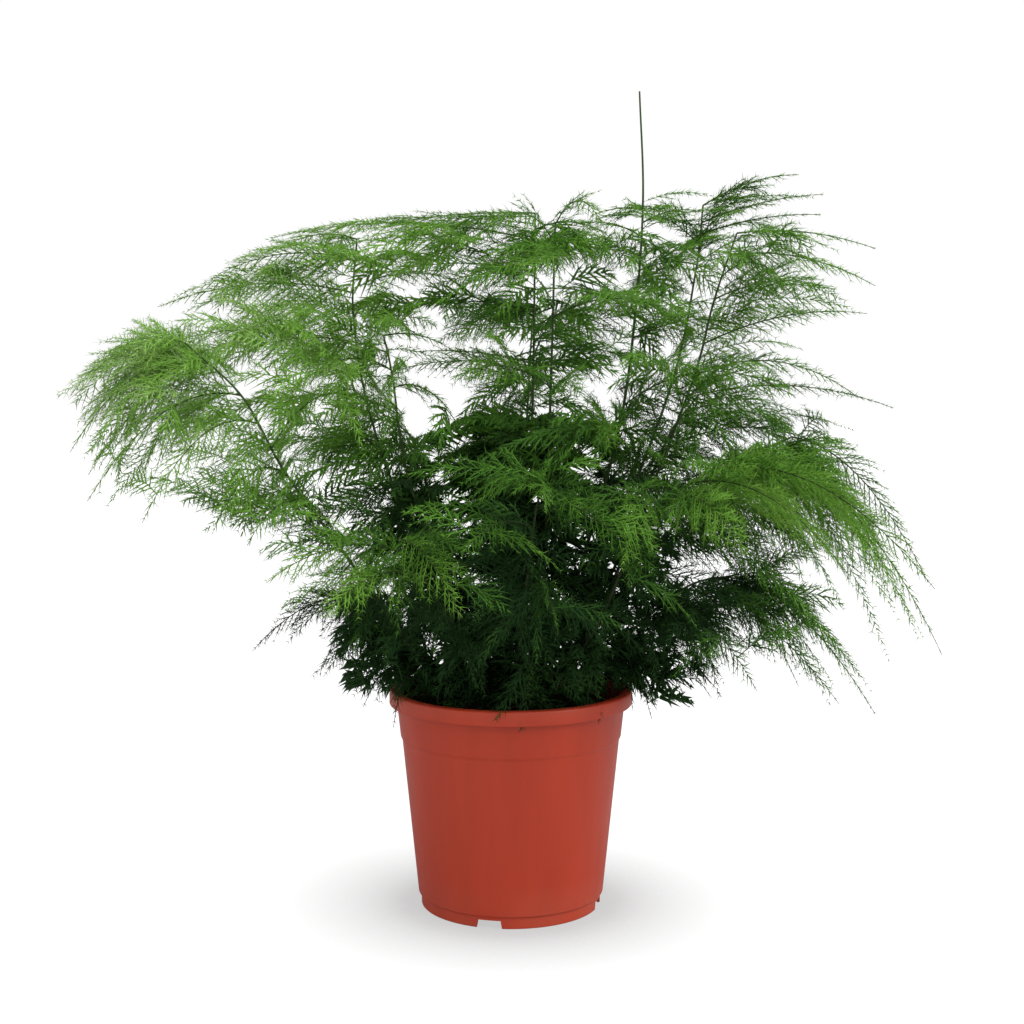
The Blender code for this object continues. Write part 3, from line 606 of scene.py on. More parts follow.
class PotSettings(bpy.types.PropertyGroup):
    """Sizes and colours of the pot and the soil."""

    rim_radius: FloatProperty(
        name="Rim radius", description="Outer radius of the rim",
        default=POT_BOX[1].x, min=0.02, max=0.5, unit="LENGTH", subtype="DISTANCE")
    height: FloatProperty(
        name="Height", description="Height of the pot",
        default=POT_BOX[1].z, min=0.02, max=0.5, unit="LENGTH", subtype="DISTANCE")
    plastic: FloatVectorProperty(
        name="Plastic", description="Colour of the moulded plastic",
        default=(0.57, 0.046, 0.012), subtype="COLOR", min=0, max=1)
    # Painted light: this paler plastic is mixed in as a sheen at the rim and as light bounced from the floor
    # at the foot
    lit_plastic: FloatVectorProperty(
        name="Scuffed plastic", description="Colour of the plastic where it is rubbed and dusty",
        default=(0.56, 0.12, 0.065), subtype="COLOR", min=0, max=1)
    soil: FloatVectorProperty(
        name="Soil", description="Colour of the moist soil",
        default=(0.022, 0.015, 0.011), subtype="COLOR", min=0, max=1)
    dry_soil: FloatVectorProperty(
        name="Dry soil", description="Colour of the fibres and crumbs that have dried",
        default=(0.085, 0.055, 0.036), subtype="COLOR", min=0, max=1)
    straw: FloatVectorProperty(
        name="Straw", description="Colour of the dead stems and needles on the soil",
        default=(0.36, 0.24, 0.12), subtype="COLOR", min=0, max=1)
    seed: IntProperty(name="Seed", description="Start of the random draws", default=3, min=0)


class StageSettings(bpy.types.PropertyGroup):
    """The studio: floor, light and camera."""

    shadow_reach: FloatProperty(
        name="Shadow reach", description="How far the shadow round the pot's foot spreads on the floor",
        default=0.10, min=0.01, max=1, unit="LENGTH", subtype="DISTANCE")
    shadow_tone: FloatProperty(
        name="Shadow tone", description="How bright the floor is against the pot's foot",
        default=0.55, min=0, max=1, subtype="FACTOR")
    camera_distance: FloatProperty(
        name="Camera distance", description="Distance from the pot's axis to the camera",
        default=0.83, min=0.1, max=10, unit="LENGTH", subtype="DISTANCE")
    camera_height: FloatProperty(
        name="Camera height", description="Height of the camera above the floor",
        default=0.272, min=0, max=10, unit="LENGTH", subtype="DISTANCE")
    camera_dip: FloatProperty(
        name="Camera dip", description="How far the camera looks down",
        default=math.radians(5.3), min=-1, max=1, subtype="ANGLE")
    lens: FloatProperty(
        name="Focal length", description="Focal length on a sensor 36 mm wide",
        default=59.77, min=1, max=500)
    sun: FloatProperty(
        name="Sun", description="Strength of the broad soft light from the upper right",
        default=1.9, min=0, max=100)
    sun_breadth: FloatProperty(
        name="Sun breadth", description="Angle that the soft light is spread over",
        default=math.radians(55), min=0, max=math.pi, subtype="ANGLE")
    sky: FloatProperty(
        name="Sky", description="Strength of the even light from all round",
        default=0.75, min=0, max=10)


def unit(vectors):
    return vectors / np.linalg.norm(vectors, axis=-1, keepdims=True)


def smooth_path(points, spacing):
    """Points about every spacing along a smooth curve through the given ones."""
    ends = [2 * points[0] - points[1], *points, 2 * points[-1] - points[-2]]
    path = []
    for before, start, end, after in zip(ends, ends[1:], ends[2:], ends[3:]):
        count = max(2, round(np.linalg.norm(end - start) / spacing))
        for index in range(count):
            u = index / count
            path.append(
                0.5 * (2 * start + (end - before) * u
                       + (2 * before - 5 * start + 4 * end - after) * u**2
                       + (3 * start - before - 3 * end + after) * u**3))
    return np.array(path + [points[-1]])


def stem_path(stem):
    foot = np.array((*stem.foot, SOIL_TOP - HOLE_DEPTH))
    collar = np.array((*stem.foot, SOIL_TOP + SOIL_CROWN + COLLAR))
    rest = [np.array(point, float) for point in stem.points]
    return np.vstack([foot, smooth_path([collar, *rest], SAMPLE)])


def distances(path):
    """How far along a path each of its points is."""
    return np.concatenate([[0], np.cumsum(np.linalg.norm(np.diff(path, axis=0), axis=1))])


def along(path, distance):
    far = distances(path)
    return np.array([np.interp(distance, far, path[:, axis]) for axis in range(3)])


def rib_curve(start, tip, arch, bend=(0, 0)):
    """The three points of a rib's arch, bent aside where it would meet another."""
    lift, aside = bend
    sideways = unit(np.cross(tip - start, UP))
    crest = (start + tip) / 2 + UP * 2 * (arch + lift) + sideways * 2 * aside
    return start, crest, tip


def rib_points(curve):
    start, crest, tip = curve
    count = max(FEWEST_RIB_STEPS, round(np.linalg.norm(tip - start) / SAMPLE))
    u = np.linspace(0, 1, count + 1)[:, None]
    return start * (1 - u) ** 2 + crest * 2 * u * (1 - u) + tip * u**2


class Space:
    """Keeps points of the shoots that are in place, to hold the next ribs clear of them."""

    def __init__(self):
        self.points = np.empty((0, 3))
        self.keys = np.empty((0, 2), int)
        self.near = np.empty(0, bool)

    def add(self, points, key, start):
        near = np.linalg.norm(points - start, axis=1) < NEAR_STEM
        self.points = np.concatenate([self.points, points])
        self.keys = np.concatenate([self.keys, np.tile(key, (len(points), 1))])
        self.near = np.concatenate([self.near, near])

    def room(self, points, key, start):
        close = np.linalg.norm(points - start, axis=1) < NEAR_STEM
        same_stem = self.keys[:, 0] == key[0]
        same_spray = self.keys[:, 1] == key[1]
        its_stem = same_stem & (self.keys[:, 1] == BARE_STEM)
        gaps = np.linalg.norm(points[:, None] - self.points[None], axis=2)
        gaps[:, same_spray | its_stem | (same_stem & self.near)] = math.inf
        gaps[np.ix_(close, same_stem)] = math.inf
        return gaps.min()


def plan_plant():
    """Every stem with its path and the curve of each rib, as the solids have them."""
    space = Space()
    paths = [stem_path(stem) for stem in STEMS]
    for index, path in enumerate(paths):
        space.add(path, (index, BARE_STEM), path[0])
    plan = []
    serial = 0
    for index, (stem, path) in enumerate(zip(STEMS, paths)):
        length = distances(path)[-1]
        ribs = []
        for spray in stem.sprays:
            key = (index, serial)
            start = along(path, spray.at * length)
            tip = np.array(spray.tip, float)
            curves = [rib_curve(start, tip, spray.arch, bend) for bend in BENDS]
            rooms = [space.room(rib_points(curve)[2:], key, start) for curve in curves]
            clear = [curve for curve, room in zip(curves, rooms) if room > CLEARANCE]
            curve = clear[0] if clear else curves[rooms.index(max(rooms))]
            space.add(rib_points(curve), key, start)
            ribs.append((curve, spray.spread, spray.fresh))
            serial += 1
        plan.append((stem, path, ribs))
    return plan


def canopy_radius(x, y, z):
    """How far the canopy reaches from the pot's axis, in the direction of a point and at its height."""
    left, right = (np.interp(z, CANOPY_HEIGHTS, radii) for radii in (CANOPY_LEFT, CANOPY_RIGHT))
    side = np.where(x < 0, left, right)
    deep = np.interp(z, CANOPY_HEIGHTS, CANOPY_DEEP)
    angle = np.arctan2(y, x)
    return np.hypot(side * np.cos(angle), deep * np.sin(angle))


def age_and_painted_light(points):
    """How much darker the needles are low in the middle of the plant, as older needles and as painted shade
    under the canopy, less how much lighter they are painted at the left, as light coming through the thin
    foliage there.
    """
    x, y, z = points.T
    inside = np.clip((DARK_RADIUS - np.hypot(x - DARK_X, y)) / DARK_FADE, 0, 1)
    low = np.clip((DARK_BELOW - z) / DARK_DEPTH, 0, 1)
    left = np.interp(-x, LIT_THROUGH_LEFT, (0, 1))
    high = np.interp(z, LIT_THROUGH_ABOVE, (0, 1))
    old_and_shaded = DARK_ALL_ROUND + (1 - DARK_ALL_ROUND) * inside
    return DARK_BY * low * old_and_shaded - LIT_THROUGH_BY * left * high


def in_gap(points):
    """Whether any of the points lies in one of the gaps between the tiers."""
    return any(
        (((points[:, 0] - gap.x) / gap.wide) ** 2 + ((points[:, 2] - gap.z) / gap.tall) ** 2 < 1).any()
        for gap in GAPS)


def more_sprays(stem, path):
    """The stem's sprays that only the dressed plant has."""
    length = distances(path)[-1]
    grown = []
    for spray in MORE_SPRAYS.get(stem.name, ()):
        curve = rib_curve(along(path, spray.at * length), np.array(spray.tip, float), spray.arch)
        grown.append((curve, spray.spread, spray.fresh))
    return grown


def companions(stem, path, ribs, rng):
    """A shorter spray beside each spray of the solids."""
    length = distances(path)[-1]
    grown = []
    for spray, (curve, spread, fresh) in zip(stem.sprays, ribs):
        start, _, tip = curve
        foot = along(path, spray.at * length + rng.uniform(*COMPANION_SHIFT))
        turn = math.radians(rng.uniform(*COMPANION_TURN)) * rng.choice((-1, 1))
        reach = np.array(Matrix.Rotation(turn, 3, "Z")) @ (tip - start) * rng.uniform(*COMPANION_REACH)
        end = foot + reach + UP * rng.uniform(*COMPANION_DROP)
        width = spread * rng.uniform(*COMPANION_SPREAD)
        grown.append((rib_curve(foot, end, spray.arch), width, fresh - COMPANION_OLDER))
    return grown


def lattice(layers, rng):
    """Places all through the box of the solids, evenly scattered, in layers of (bottom, top, cell)."""
    low, high = (np.array(corner) / MM for corner in CAD_BOX)
    scattered = []
    for bottom, top, cell in layers:
        axes = [np.arange(low[axis], high[axis], cell) for axis in range(2)] + [np.arange(bottom, top, cell)]
        places = np.array(np.meshgrid(*axes)).reshape(3, -1).T
        scattered.append(places + rng.uniform(-FILL_JITTER, FILL_JITTER, places.shape) * cell)
    return np.vstack(scattered)


def spray_to(place, points, nearest_reach, rises):
    """Which of the points a spray to this place can best leave, outward and about level, or none."""
    way = place - points
    reach = np.linalg.norm(way, axis=1)
    rise = way[:, 2] / reach
    fit = (reach > nearest_reach[0]) & (reach < nearest_reach[1]) & (rise > rises[0]) & (rise < rises[1])
    fit &= way[:, :2] @ place[:2] > FILL_OUTWARD * np.hypot(place[0], place[1]) * reach
    return np.argmin(np.where(fit, reach, math.inf)) if fit.any() else None


def canopy_sprays(points, rng):
    """Filling sprays through the canopy: the point that each leaves, whether it is deep, and the spray."""
    for place in lattice(FILL_CELLS, rng):
        edge = canopy_radius(*place)
        out = np.hypot(place[0], place[1])
        if out > FILL_EDGE * edge:
            continue
        start = spray_to(place, points, FILL_REACH, FILL_RISE_LOW if place[2] < FILL_LOW else FILL_RISE)
        if start is None:
            continue
        curve = rib_curve(points[start], place, FILL_ARCH)
        if in_gap(rib_points(curve)):
            continue
        # Lighter further out: fresher outer growth, and painted shade deep in the canopy
        fresh = FILL_FRESH + FILL_OUTWARD_LIGHTER * out / edge + rng.uniform(-FILL_GREENS, FILL_GREENS)
        yield start, out < DEEP * edge, (curve, rng.uniform(*FILL_SPREAD), fresh)


def core_sprays(points, rng):
    """Sprays that close the middle of the plant: the point that each leaves, and the spray."""
    for place in lattice(((*CORE_HEIGHTS, CORE_CELL),), rng):
        high = (place[2] - CORE_HEIGHTS[0]) / (CORE_HEIGHTS[1] - CORE_HEIGHTS[0])
        out = np.linalg.norm((place[:2] - CORE_AT) / CORE_SIZE)
        if out > 1 - CORE_TAPER * high**2 or (place[1:] < SOIL_SHOWN).all():
            continue
        start = spray_to(place, points, CORE_REACH, CORE_RISE)
        if start is not None and points[start, 2] < CORE_HEIGHTS[1]:
            curve = rib_curve(points[start], place, FILL_ARCH)
            yield start, (curve, rng.uniform(*CORE_SPREAD), np.interp(high, (0, 1), CORE_FRESH))


def filling_sprays(plan, rng):
    """For each stem, the sprays between those of the solids: outer ones, deep ones and those of the core."""
    shoots = []
    for _, path, ribs in plan:
        rib_lines = [rib_points(curve)[2:-2] for curve, *_ in ribs]
        shoots.append(np.vstack([path[2:], *rib_lines]))
    owner = np.repeat(np.arange(len(plan)), [len(points) for points in shoots])
    points = np.vstack(shoots)
    grown = [Fillers([], [], []) for _ in plan]
    for start, deep, spray in canopy_sprays(points, rng):
        fillers = grown[owner[start]]
        (fillers.deep if deep else fillers.outer).append(spray)
    for start, spray in core_sprays(points, rng):
        grown[owner[start]].core.append(spray)
    return grown


def rib_arcs(ribs, rng):
    """The ribs as arcs, each with the face of its spray turned outward about it."""
    start, crest, tip = (np.array([curve[k] for curve, *_ in ribs]).reshape(-1, 3) for k in range(3))
    run = 2 * (crest - start)
    bend = start - 2 * crest + tip
    heading = unit(tip - start)
    across = unit(np.cross(heading, UP))
    level = np.cross(across, heading)
    crown = tip[:, 2] > CROWN_HEIGHT
    lean = np.where(crown, rng.uniform(*CROWN_ROLL, len(ribs)), rng.uniform(*BODY_ROLL, len(ribs)))
    in_front = (start[:, 1] + tip[:, 1]) / 2 < FRONT_BEFORE
    outward = np.where(in_front, -1, 1) * np.sign(across[:, 1])
    side = np.where(rng.uniform(size=len(ribs)) < OUTWARD_SHARE, outward, -outward)
    roll = np.radians(lean * side)[:, None]
    face = level * np.cos(roll) + across * np.sin(roll)
    length = np.linalg.norm(tip - start, axis=1)
    width = np.array([spread for _, spread, _ in ribs], float)
    fresh = np.array([value for *_, value in ribs], float)
    return Arcs(start, run, bend, face, length, width, fresh)


def point_on(arcs, which, share):
    share = share[:, None]
    return arcs.start[which] + arcs.run[which] * share + arcs.bend[which] * share**2


def heading_on(arcs, which, share):
    return unit(arcs.run[which] + 2 * arcs.bend[which] * share[:, None])


def places_along(arcs, spacing, clear, rng):
    """A row of places on each arc: which arc, the place's turn in its row, and its share of the length."""
    count = np.maximum(0, (arcs.length - clear) // spacing).astype(int)
    which = np.repeat(np.arange(len(count)), count)
    turn = np.arange(len(which)) - np.repeat(np.cumsum(count) - count, count)
    place = clear + (turn + rng.uniform(*IN_ITS_PLACE, len(which))) * spacing
    return which, turn, place / arcs.length[which]


def outline(share):
    """How long the twigs are along a spray, from 0 at its stem to 1 at its tip."""
    opening = OUTLINE_AT_STEM + (1 - OUTLINE_AT_STEM) * np.minimum(1, share / OUTLINE_WIDEST)
    return (1 - share) ** OUTLINE_TAPER * opening


def side_shoots(arcs, habit, reach_of, least, rng):
    """The next order of shoots, to both sides of each arc in turn."""
    which, turn, share = places_along(arcs, habit.spacing, habit.clear, rng)
    reach = reach_of(which, share) * rng.uniform(*REACH_VARIES, len(which))
    keep = reach > least
    which, turn, share, reach = which[keep], turn[keep], share[keep], reach[keep]
    count = len(which)
    start = point_on(arcs, which, share)
    heading = heading_on(arcs, which, share)
    side = np.where(turn % 2, 1, -1)[:, None]
    across = unit(np.cross(heading, arcs.face[which])) * side
    face = np.cross(across, heading) * side
    angle = np.radians(habit.angle - habit.closing * share + rng.normal(0, habit.angle_varies, count))
    tilt = rng.normal(0, habit.tilt, count)
    out = unit(
        heading * np.cos(angle)[:, None] + across * np.sin(angle)[:, None] + face * tilt[:, None])
    reach = reach[:, None]
    run = out * reach
    bend = (heading * habit.curl - UP * habit.droop) * reach
    fresh = arcs.fresh[which] + SHOOT_FRESHER * share - SHOOT_OLDER + rng.normal(0, SHOOT_GREENS, count)
    return Arcs(start, run, bend, face, reach[:, 0], reach[:, 0], fresh)


# Where copies of a stamp stand: a corner at x, y, z goes to place + x ahead + x² bend + y wide + z thick
Places = namedtuple("Places", "place ahead bend wide thick fresh")


def needle_pairs(arcs, spacing, clear, needle, radius, rng):
    """Pairs of needles along each arc, which lean towards its tip and are shorter there."""
    which, _, share = places_along(arcs, spacing, clear, rng)
    count = len(which)
    place = point_on(arcs, which, share)
    heading = heading_on(arcs, which, share)
    sideways = unit(np.cross(heading, arcs.face[which]))
    roll = np.radians(rng.normal(0, ROLL_VARIES, count))[:, None]
    across = sideways * np.cos(roll) + np.cross(heading, sideways) * np.sin(roll)
    lean = np.radians(rng.normal(NEEDLE_LEAN, LEAN_VARIES, count))[:, None]
    full = needle * (NEEDLE_LONGEST - NEEDLE_SHORTENS * share**2)
    length = (full * rng.uniform(*NEEDLE_VARIES, count))[:, None]
    uneven = across * length * rng.uniform(*UNEVEN, count)[:, None]
    return Places(
        place, across * length * np.sin(lean), heading * length * np.cos(lean) + uneven,
        heading * radius, np.cross(across, heading) * radius,
        arcs.fresh[which] + NEEDLE_FRESHER * share + rng.normal(0, NEEDLE_GREENS, count))


def slim_bodies(arcs, wide):
    """Where the slim flat body of each twig or sprig stands."""
    heading = unit(arcs.run + arcs.bend)
    sideways = unit(np.cross(heading, arcs.face))
    return Places(
        arcs.start, arcs.run, arcs.bend, sideways * wide,
        unit(np.cross(heading, sideways)) * wide * THICKNESS, arcs.fresh)


def chosen(places, keep):
    return Places(*(values[keep] for values in places))


def spike_stamp(bends=0, both_ways=False):
    """Corners and faces of a closed three-sided spike from the origin to +X, or to both +X and -X."""
    bm = bmesh.new()
    bmesh.ops.create_cone(bm, cap_ends=True, segments=3, radius1=1, radius2=0, depth=1)
    bmesh.ops.translate(bm, vec=(0, 0, 0.5), verts=bm.verts)
    bmesh.ops.rotate(bm, matrix=Matrix.Rotation(math.radians(90), 3, "Y"), verts=bm.verts)
    for index in range(bends):
        place = (index + 1) / (bends + 1)
        bmesh.ops.bisect_plane(
            bm, geom=bm.verts[:] + bm.edges[:] + bm.faces[:], plane_co=(place, 0, 0), plane_no=(1, 0, 0))
    for vert in bm.verts:
        fuller = 1 + vert.co.x
        vert.co.yz = vert.co.yz * fuller
    if both_ways:
        foot = min(bm.faces, key=lambda face: face.calc_center_median().x)
        bmesh.ops.poke(bm, faces=[foot])["verts"][0].co = (-1, 0, 0)
    bmesh.ops.triangulate(bm, faces=bm.faces)
    bmesh.ops.recalc_face_normals(bm, faces=bm.faces)
    bm.verts.index_update()
    corners = np.array([vert.co for vert in bm.verts])
    faces = np.array([[vert.index for vert in face.verts] for face in bm.faces])
    bm.free()
    return corners, faces


def stamped(stamp, at):
    """Copies of a stamp, one at each place, as points, triangles and the freshness of each point."""
    corners, faces = stamp
    x, y, z = (corners[None, :, axis, None] for axis in range(3))
    points = (at.place[:, None] + x * at.ahead[:, None] + x**2 * at.bend[:, None]
              + y * at.wide[:, None] + z * at.thick[:, None])
    numbers = faces[None] + np.arange(len(at.place))[:, None, None] * len(corners)
    return points.reshape(-1, 3), numbers.reshape(-1, 3), np.repeat(at.fresh, len(corners))


def mesh_of(groups):
    """One mesh of several groups of (points in millimetres, triangles, freshness of each point)."""
    points, faces, fresh = [], [], []
    base = 0
    for group_points, group_faces, group_fresh in groups:
        points.append(group_points)
        faces.append(group_faces + base)
        fresh.append(group_fresh)
        base += len(group_points)
    points, faces, fresh = np.concatenate(points), np.concatenate(faces), np.concatenate(fresh)
    # Painted shade low in the middle and painted light through the thin foliage at the left are taken into
    # the freshness here
    fresh = fresh - age_and_painted_light(points)
    points = points * MM
    mesh = bpy.data.meshes.new("needles")
    mesh.vertices.add(len(points))
    mesh.vertices.foreach_set("co", points.astype(np.float32).ravel())
    mesh.loops.add(faces.size)
    mesh.loops.foreach_set("vertex_index", faces.astype(np.int32).ravel())
    mesh.polygons.add(len(faces))
    mesh.polygons.foreach_set("loop_start", np.arange(0, faces.size, 3, dtype=np.int32))
    mesh.update(calc_edges=True)
    mesh.attributes.new("fresh", "FLOAT", "POINT").data.foreach_set("value", fresh.astype(np.float32))
    return mesh


def tubes(lines, resolution):
    """A mesh of closed tapered tubes, from lines of (points in millimetres, radii in millimetres)."""
    curve = bpy.data.curves.new("tubes", "CURVE")
    curve.dimensions = "3D"
    curve.bevel_depth = MM
    curve.bevel_resolution = resolution
    curve.use_fill_caps = True
    for points, radii in lines:
        spline = curve.splines.new("POLY")
        spline.points.add(len(points) - 1)
        spline.points.foreach_set("co", np.column_stack([points * MM, np.ones(len(points))]).ravel())
        spline.points.foreach_set("radius", radii)
    guide = bpy.data.objects.new("tubes", curve)
    mesh = bpy.data.meshes.new_from_object(guide)
    bpy.data.objects.remove(guide)
    bpy.data.curves.remove(curve)
    return mesh


def arc_lines(arcs, radius):
    """Each arc as a tube's line, from its root to its tip."""
    lines = []
    for start, run, bend, length in zip(arcs.start, arcs.run, arcs.bend, arcs.length):
        steps = max(FEWEST_WOOD_STEPS, round(length / RIB_STEP))
        u = np.linspace(0, 1, steps + 1)[:, None]
        points = start + run * u + bend * u**2
        lines.append((points, radius * (1 - (1 - SHOOT_TIP) * u[:, 0])))
    return lines


def place_piece(name, mesh, material, slot, *nodes):
    """Puts a finished mesh in the scene, riding on the part in place of its solid."""
    mesh.name = name
    mesh.materials.clear()
    mesh.materials.append(material)
    piece = bpy.data.objects.new(name, mesh)
    bpy.context.scene.collection.objects.link(piece)
    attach(piece, "root")
    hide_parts(*nodes)
    return piece


def new_material(name, roughness, specular):
    material = bpy.data.materials.new(name)
    material.use_nodes = True
    shader = material.node_tree.nodes["Principled BSDF"]
    shader.inputs["Roughness"].default_value = roughness
    shader.inputs["Specular IOR Level"].default_value = specular
    return material, material.node_tree, shader


def mottle_group():
    """A shared patchy mask from 0 to 1: noise on the piece's own coordinates."""
    name = "mottle"
    if name in bpy.data.node_groups:
        return bpy.data.node_groups[name]
    group = bpy.data.node_groups.new(name, "ShaderNodeTree")
    inputs = (("Scale", "Float", 100.0), ("Detail", "Float", 3.0), ("Stretch", "Vector", (1, 1, 1)))
    for socket, kind, value in inputs:
        entry = group.interface.new_socket(socket, in_out="INPUT", socket_type=f"NodeSocket{kind}")
        entry.default_value = value
    group.interface.new_socket("Mask", in_out="OUTPUT", socket_type="NodeSocketFloat")
    nodes, links = group.nodes, group.links
    enter, leave = nodes.new("NodeGroupInput"), nodes.new("NodeGroupOutput")
    place, stretched = nodes.new("ShaderNodeTexCoord"), nodes.new("ShaderNodeVectorMath")
    stretched.operation = "MULTIPLY"
    patches = nodes.new("ShaderNodeTexNoise")
    spread = nodes.new("ShaderNodeMapRange")
    spread.inputs["From Min"].default_value = 0.3
    spread.inputs["From Max"].default_value = 0.7
    links.new(place.outputs["Object"], stretched.inputs[0])
    links.new(enter.outputs["Stretch"], stretched.inputs[1])
    links.new(stretched.outputs["Vector"], patches.inputs["Vector"])
    links.new(enter.outputs["Scale"], patches.inputs["Scale"])
    links.new(enter.outputs["Detail"], patches.inputs["Detail"])
    links.new(patches.outputs["Fac"], spread.inputs["Value"])
    links.new(spread.outputs["Result"], leave.inputs["Mask"])
    return group


def mottle(tree, scale, detail=3.0, stretch=(1, 1, 1)):
    """The mask of one mottle group placed in a material."""
    node = tree.nodes.new("ShaderNodeGroup")
    node.node_tree = mottle_group()
    node.inputs["Scale"].default_value = scale
    node.inputs["Detail"].default_value = detail
    node.inputs["Stretch"].default_value = stretch
    return node.outputs["Mask"]


def ramp(tree, mask, stops):
    """A colour ramp of (place, colour) stops over a mask."""
    node = tree.nodes.new("ShaderNodeValToRGB")
    elements = node.color_ramp.elements
    for element, (place, colour) in zip(elements, (stops[0], stops[-1])):
        element.position = place
        element.color = (*colour, 1)
    for place, colour in stops[1:-1]:
        elements.new(place).color = (*colour, 1)
    tree.links.new(mask, node.inputs["Fac"])
    return node.outputs["Color"]


def blend(tree, mask, first, second):
    """Two colours, or colour outputs, mixed by a mask."""
    node = tree.nodes.new("ShaderNodeMix")
    node.data_type = "RGBA"
    for socket, value in ((node.inputs[6], first), (node.inputs[7], second)):
        if isinstance(value, bpy.types.NodeSocket):
            tree.links.new(value, socket)
        else:
            socket.default_value = (*value, 1)
    tree.links.new(mask, node.inputs[0])
    return node.outputs[2]


def span(tree, mask, low, high, start=0.0, end=1.0):
    """A mask from start to end as values from low to high."""
    node = tree.nodes.new("ShaderNodeMapRange")
    for name, value in (("From Min", start), ("From Max", end), ("To Min", low), ("To Max", high)):
        node.inputs[name].default_value = value
    tree.links.new(mask, node.inputs["Value"])
    return node.outputs["Result"]


def maths(tree, operation, first, second):
    node = tree.nodes.new("ShaderNodeMath")
    node.operation = operation
    for socket, value in zip(node.inputs, (first, second)):
        if isinstance(value, bpy.types.NodeSocket):
            tree.links.new(value, socket)
        else:
            socket.default_value = value
    return node.outputs[0]


def height_mask(tree, low, high):
    """0 below a height in metres and 1 above another."""
    place = tree.nodes.new("ShaderNodeTexCoord")
    parts = tree.nodes.new("ShaderNodeSeparateXYZ")
    tree.links.new(place.outputs["Object"], parts.inputs["Vector"])
    return span(tree, parts.outputs["Z"], 0, 1, low, high)


def bump(tree, height, strength, distance):
    node = tree.nodes.new("ShaderNodeBump")
    node.inputs["Strength"].default_value = strength
    node.inputs["Distance"].default_value = distance
    tree.links.new(height, node.inputs["Height"])
    return node.outputs["Normal"]


def needle_material(look):
    """Green needles, yellower where they are young, with patches of older ones; their freshness also carries
    painted shade and painted light, and the palest green is painted light coming through the needles.
    """
    material, tree, shader = new_material("fern needles", 0.7, 0.06)
    grown = tree.nodes.new("ShaderNodeAttribute")
    grown.attribute_name = "fresh"
    patches = span(tree, mottle(tree, 55.0), -0.12, 0.12)
    fresh = maths(tree, "ADD", grown.outputs["Fac"], patches)
    green = ramp(tree, span(tree, fresh, 0, 1, 0, 1.4), (
        (0.0, look.old_green),
        (0.29, look.mid_green),
        (0.71, look.fresh_green),
        # The palest green is painted light coming through the thin needles
        (1.0, look.lit_through_green),
    ))
    tree.links.new(green, shader.inputs["Base Color"])
    tree.links.new(span(tree, mottle(tree, 900.0), 0.6, 0.8), shader.inputs["Roughness"])
    return material


def wood_material(look):
    """Wiry stems: brown and ribbed at the foot, and green higher up."""
    material, tree, shader = new_material("fern stems", 0.6, 0.15)
    grain = mottle(tree, 900.0, 4.0, (1, 1, 0.12))
    brown = blend(tree, grain, look.bark, (0.5 * value for value in look.bark))
    green = blend(tree, grain, look.stem_green, (1.8 * value for value in look.stem_green))
    height = height_mask(tree, *BARK_TO_GREEN)
    tree.links.new(blend(tree, height, brown, green), shader.inputs["Base Color"])
    tree.links.new(span(tree, grain, 0.4, 0.65), shader.inputs["Roughness"])
    tree.links.new(bump(tree, grain, 0.5, 0.0002), shader.inputs["Normal"])
    return material


def plastic_material(look):
    """Terracotta-coloured plastic: fine moulded texture, faint streaks, and patches of painted light: a pale
    sheen at the rim and light bounced from the floor at the foot.
    """
    material, tree, shader = new_material("pot plastic", 0.45, 0.5)
    streaks = mottle(tree, 60.0, 3.0, (1, 1, 0.15))
    clouds = mottle(tree, 28.0, 2.0)
    grain = mottle(tree, 2600.0, 2.0)
    # Painted light in patches: light bounced from the floor fading up from the foot, and a pale sheen on the
    # rim
    foot = span(tree, height_mask(tree, *FOOT_BOUNCE), 0.5, 0.0)
    rim = span(tree, height_mask(tree, *RIM_SHEEN), 0.0, 0.35)
    sheen_and_bounce = maths(tree, "MULTIPLY", maths(tree, "MAXIMUM", foot, rim), clouds)
    deep = blend(tree, streaks, look.plastic, (0.86 * value for value in look.plastic))
    tree.links.new(blend(tree, sheen_and_bounce, deep, look.lit_plastic), shader.inputs["Base Color"])
    rough = maths(tree, "ADD", span(tree, clouds, 0.36, 0.46), span(tree, streaks, 0.0, 0.08))
    tree.links.new(rough, shader.inputs["Roughness"])
    tree.links.new(bump(tree, grain, 0.25, 0.0001), shader.inputs["Normal"])
    return material


def soil_material(look):
    """Moist peat: nearly black, with browner crumbs and fibres, and rough all over."""
    material, tree, shader = new_material("potting soil", 0.9, 0.25)
    crumbs = mottle(tree, 420.0, 5.0)
    fibres = mottle(tree, 1500.0, 3.0, (1, 0.3, 1))
    dry = maths(tree, "POWER", maths(tree, "MULTIPLY", crumbs, fibres), 1.5)
    tree.links.new(blend(tree, dry, look.soil, look.dry_soil), shader.inputs["Base Color"])
    tree.links.new(span(tree, crumbs, 0.75, 0.98), shader.inputs["Roughness"])
    tree.links.new(bump(tree, maths(tree, "ADD", crumbs, fibres), 0.8, 0.0006), shader.inputs["Normal"])
    return material


def straw_material(look):
    """Dead stems and needles: tan with grey-brown patches."""
    material, tree, shader = new_material("dry straw", 0.8, 0.2)
    patches = mottle(tree, 300.0, 4.0)
    dull = [0.35 * value for value in look.straw]
    tree.links.new(blend(tree, patches, look.straw, dull), shader.inputs["Base Color"])
    tree.links.new(span(tree, patches, 0.65, 0.9), shader.inputs["Roughness"])
    return material


def around(radius, degrees):
    angle = math.radians(degrees)
    return Vector((radius * math.cos(angle), radius * math.sin(angle), 0))


def wall_radius(height):
    """The pot's inner radius below the step, at this height."""
    share = (height - FOOT_HEIGHT) / (STEP_HEIGHT - STEP_DROP - FOOT_HEIGHT)
    return BODY_FOOT_RADIUS + (BODY_TOP_RADIUS - BODY_FOOT_RADIUS) * share - WALL


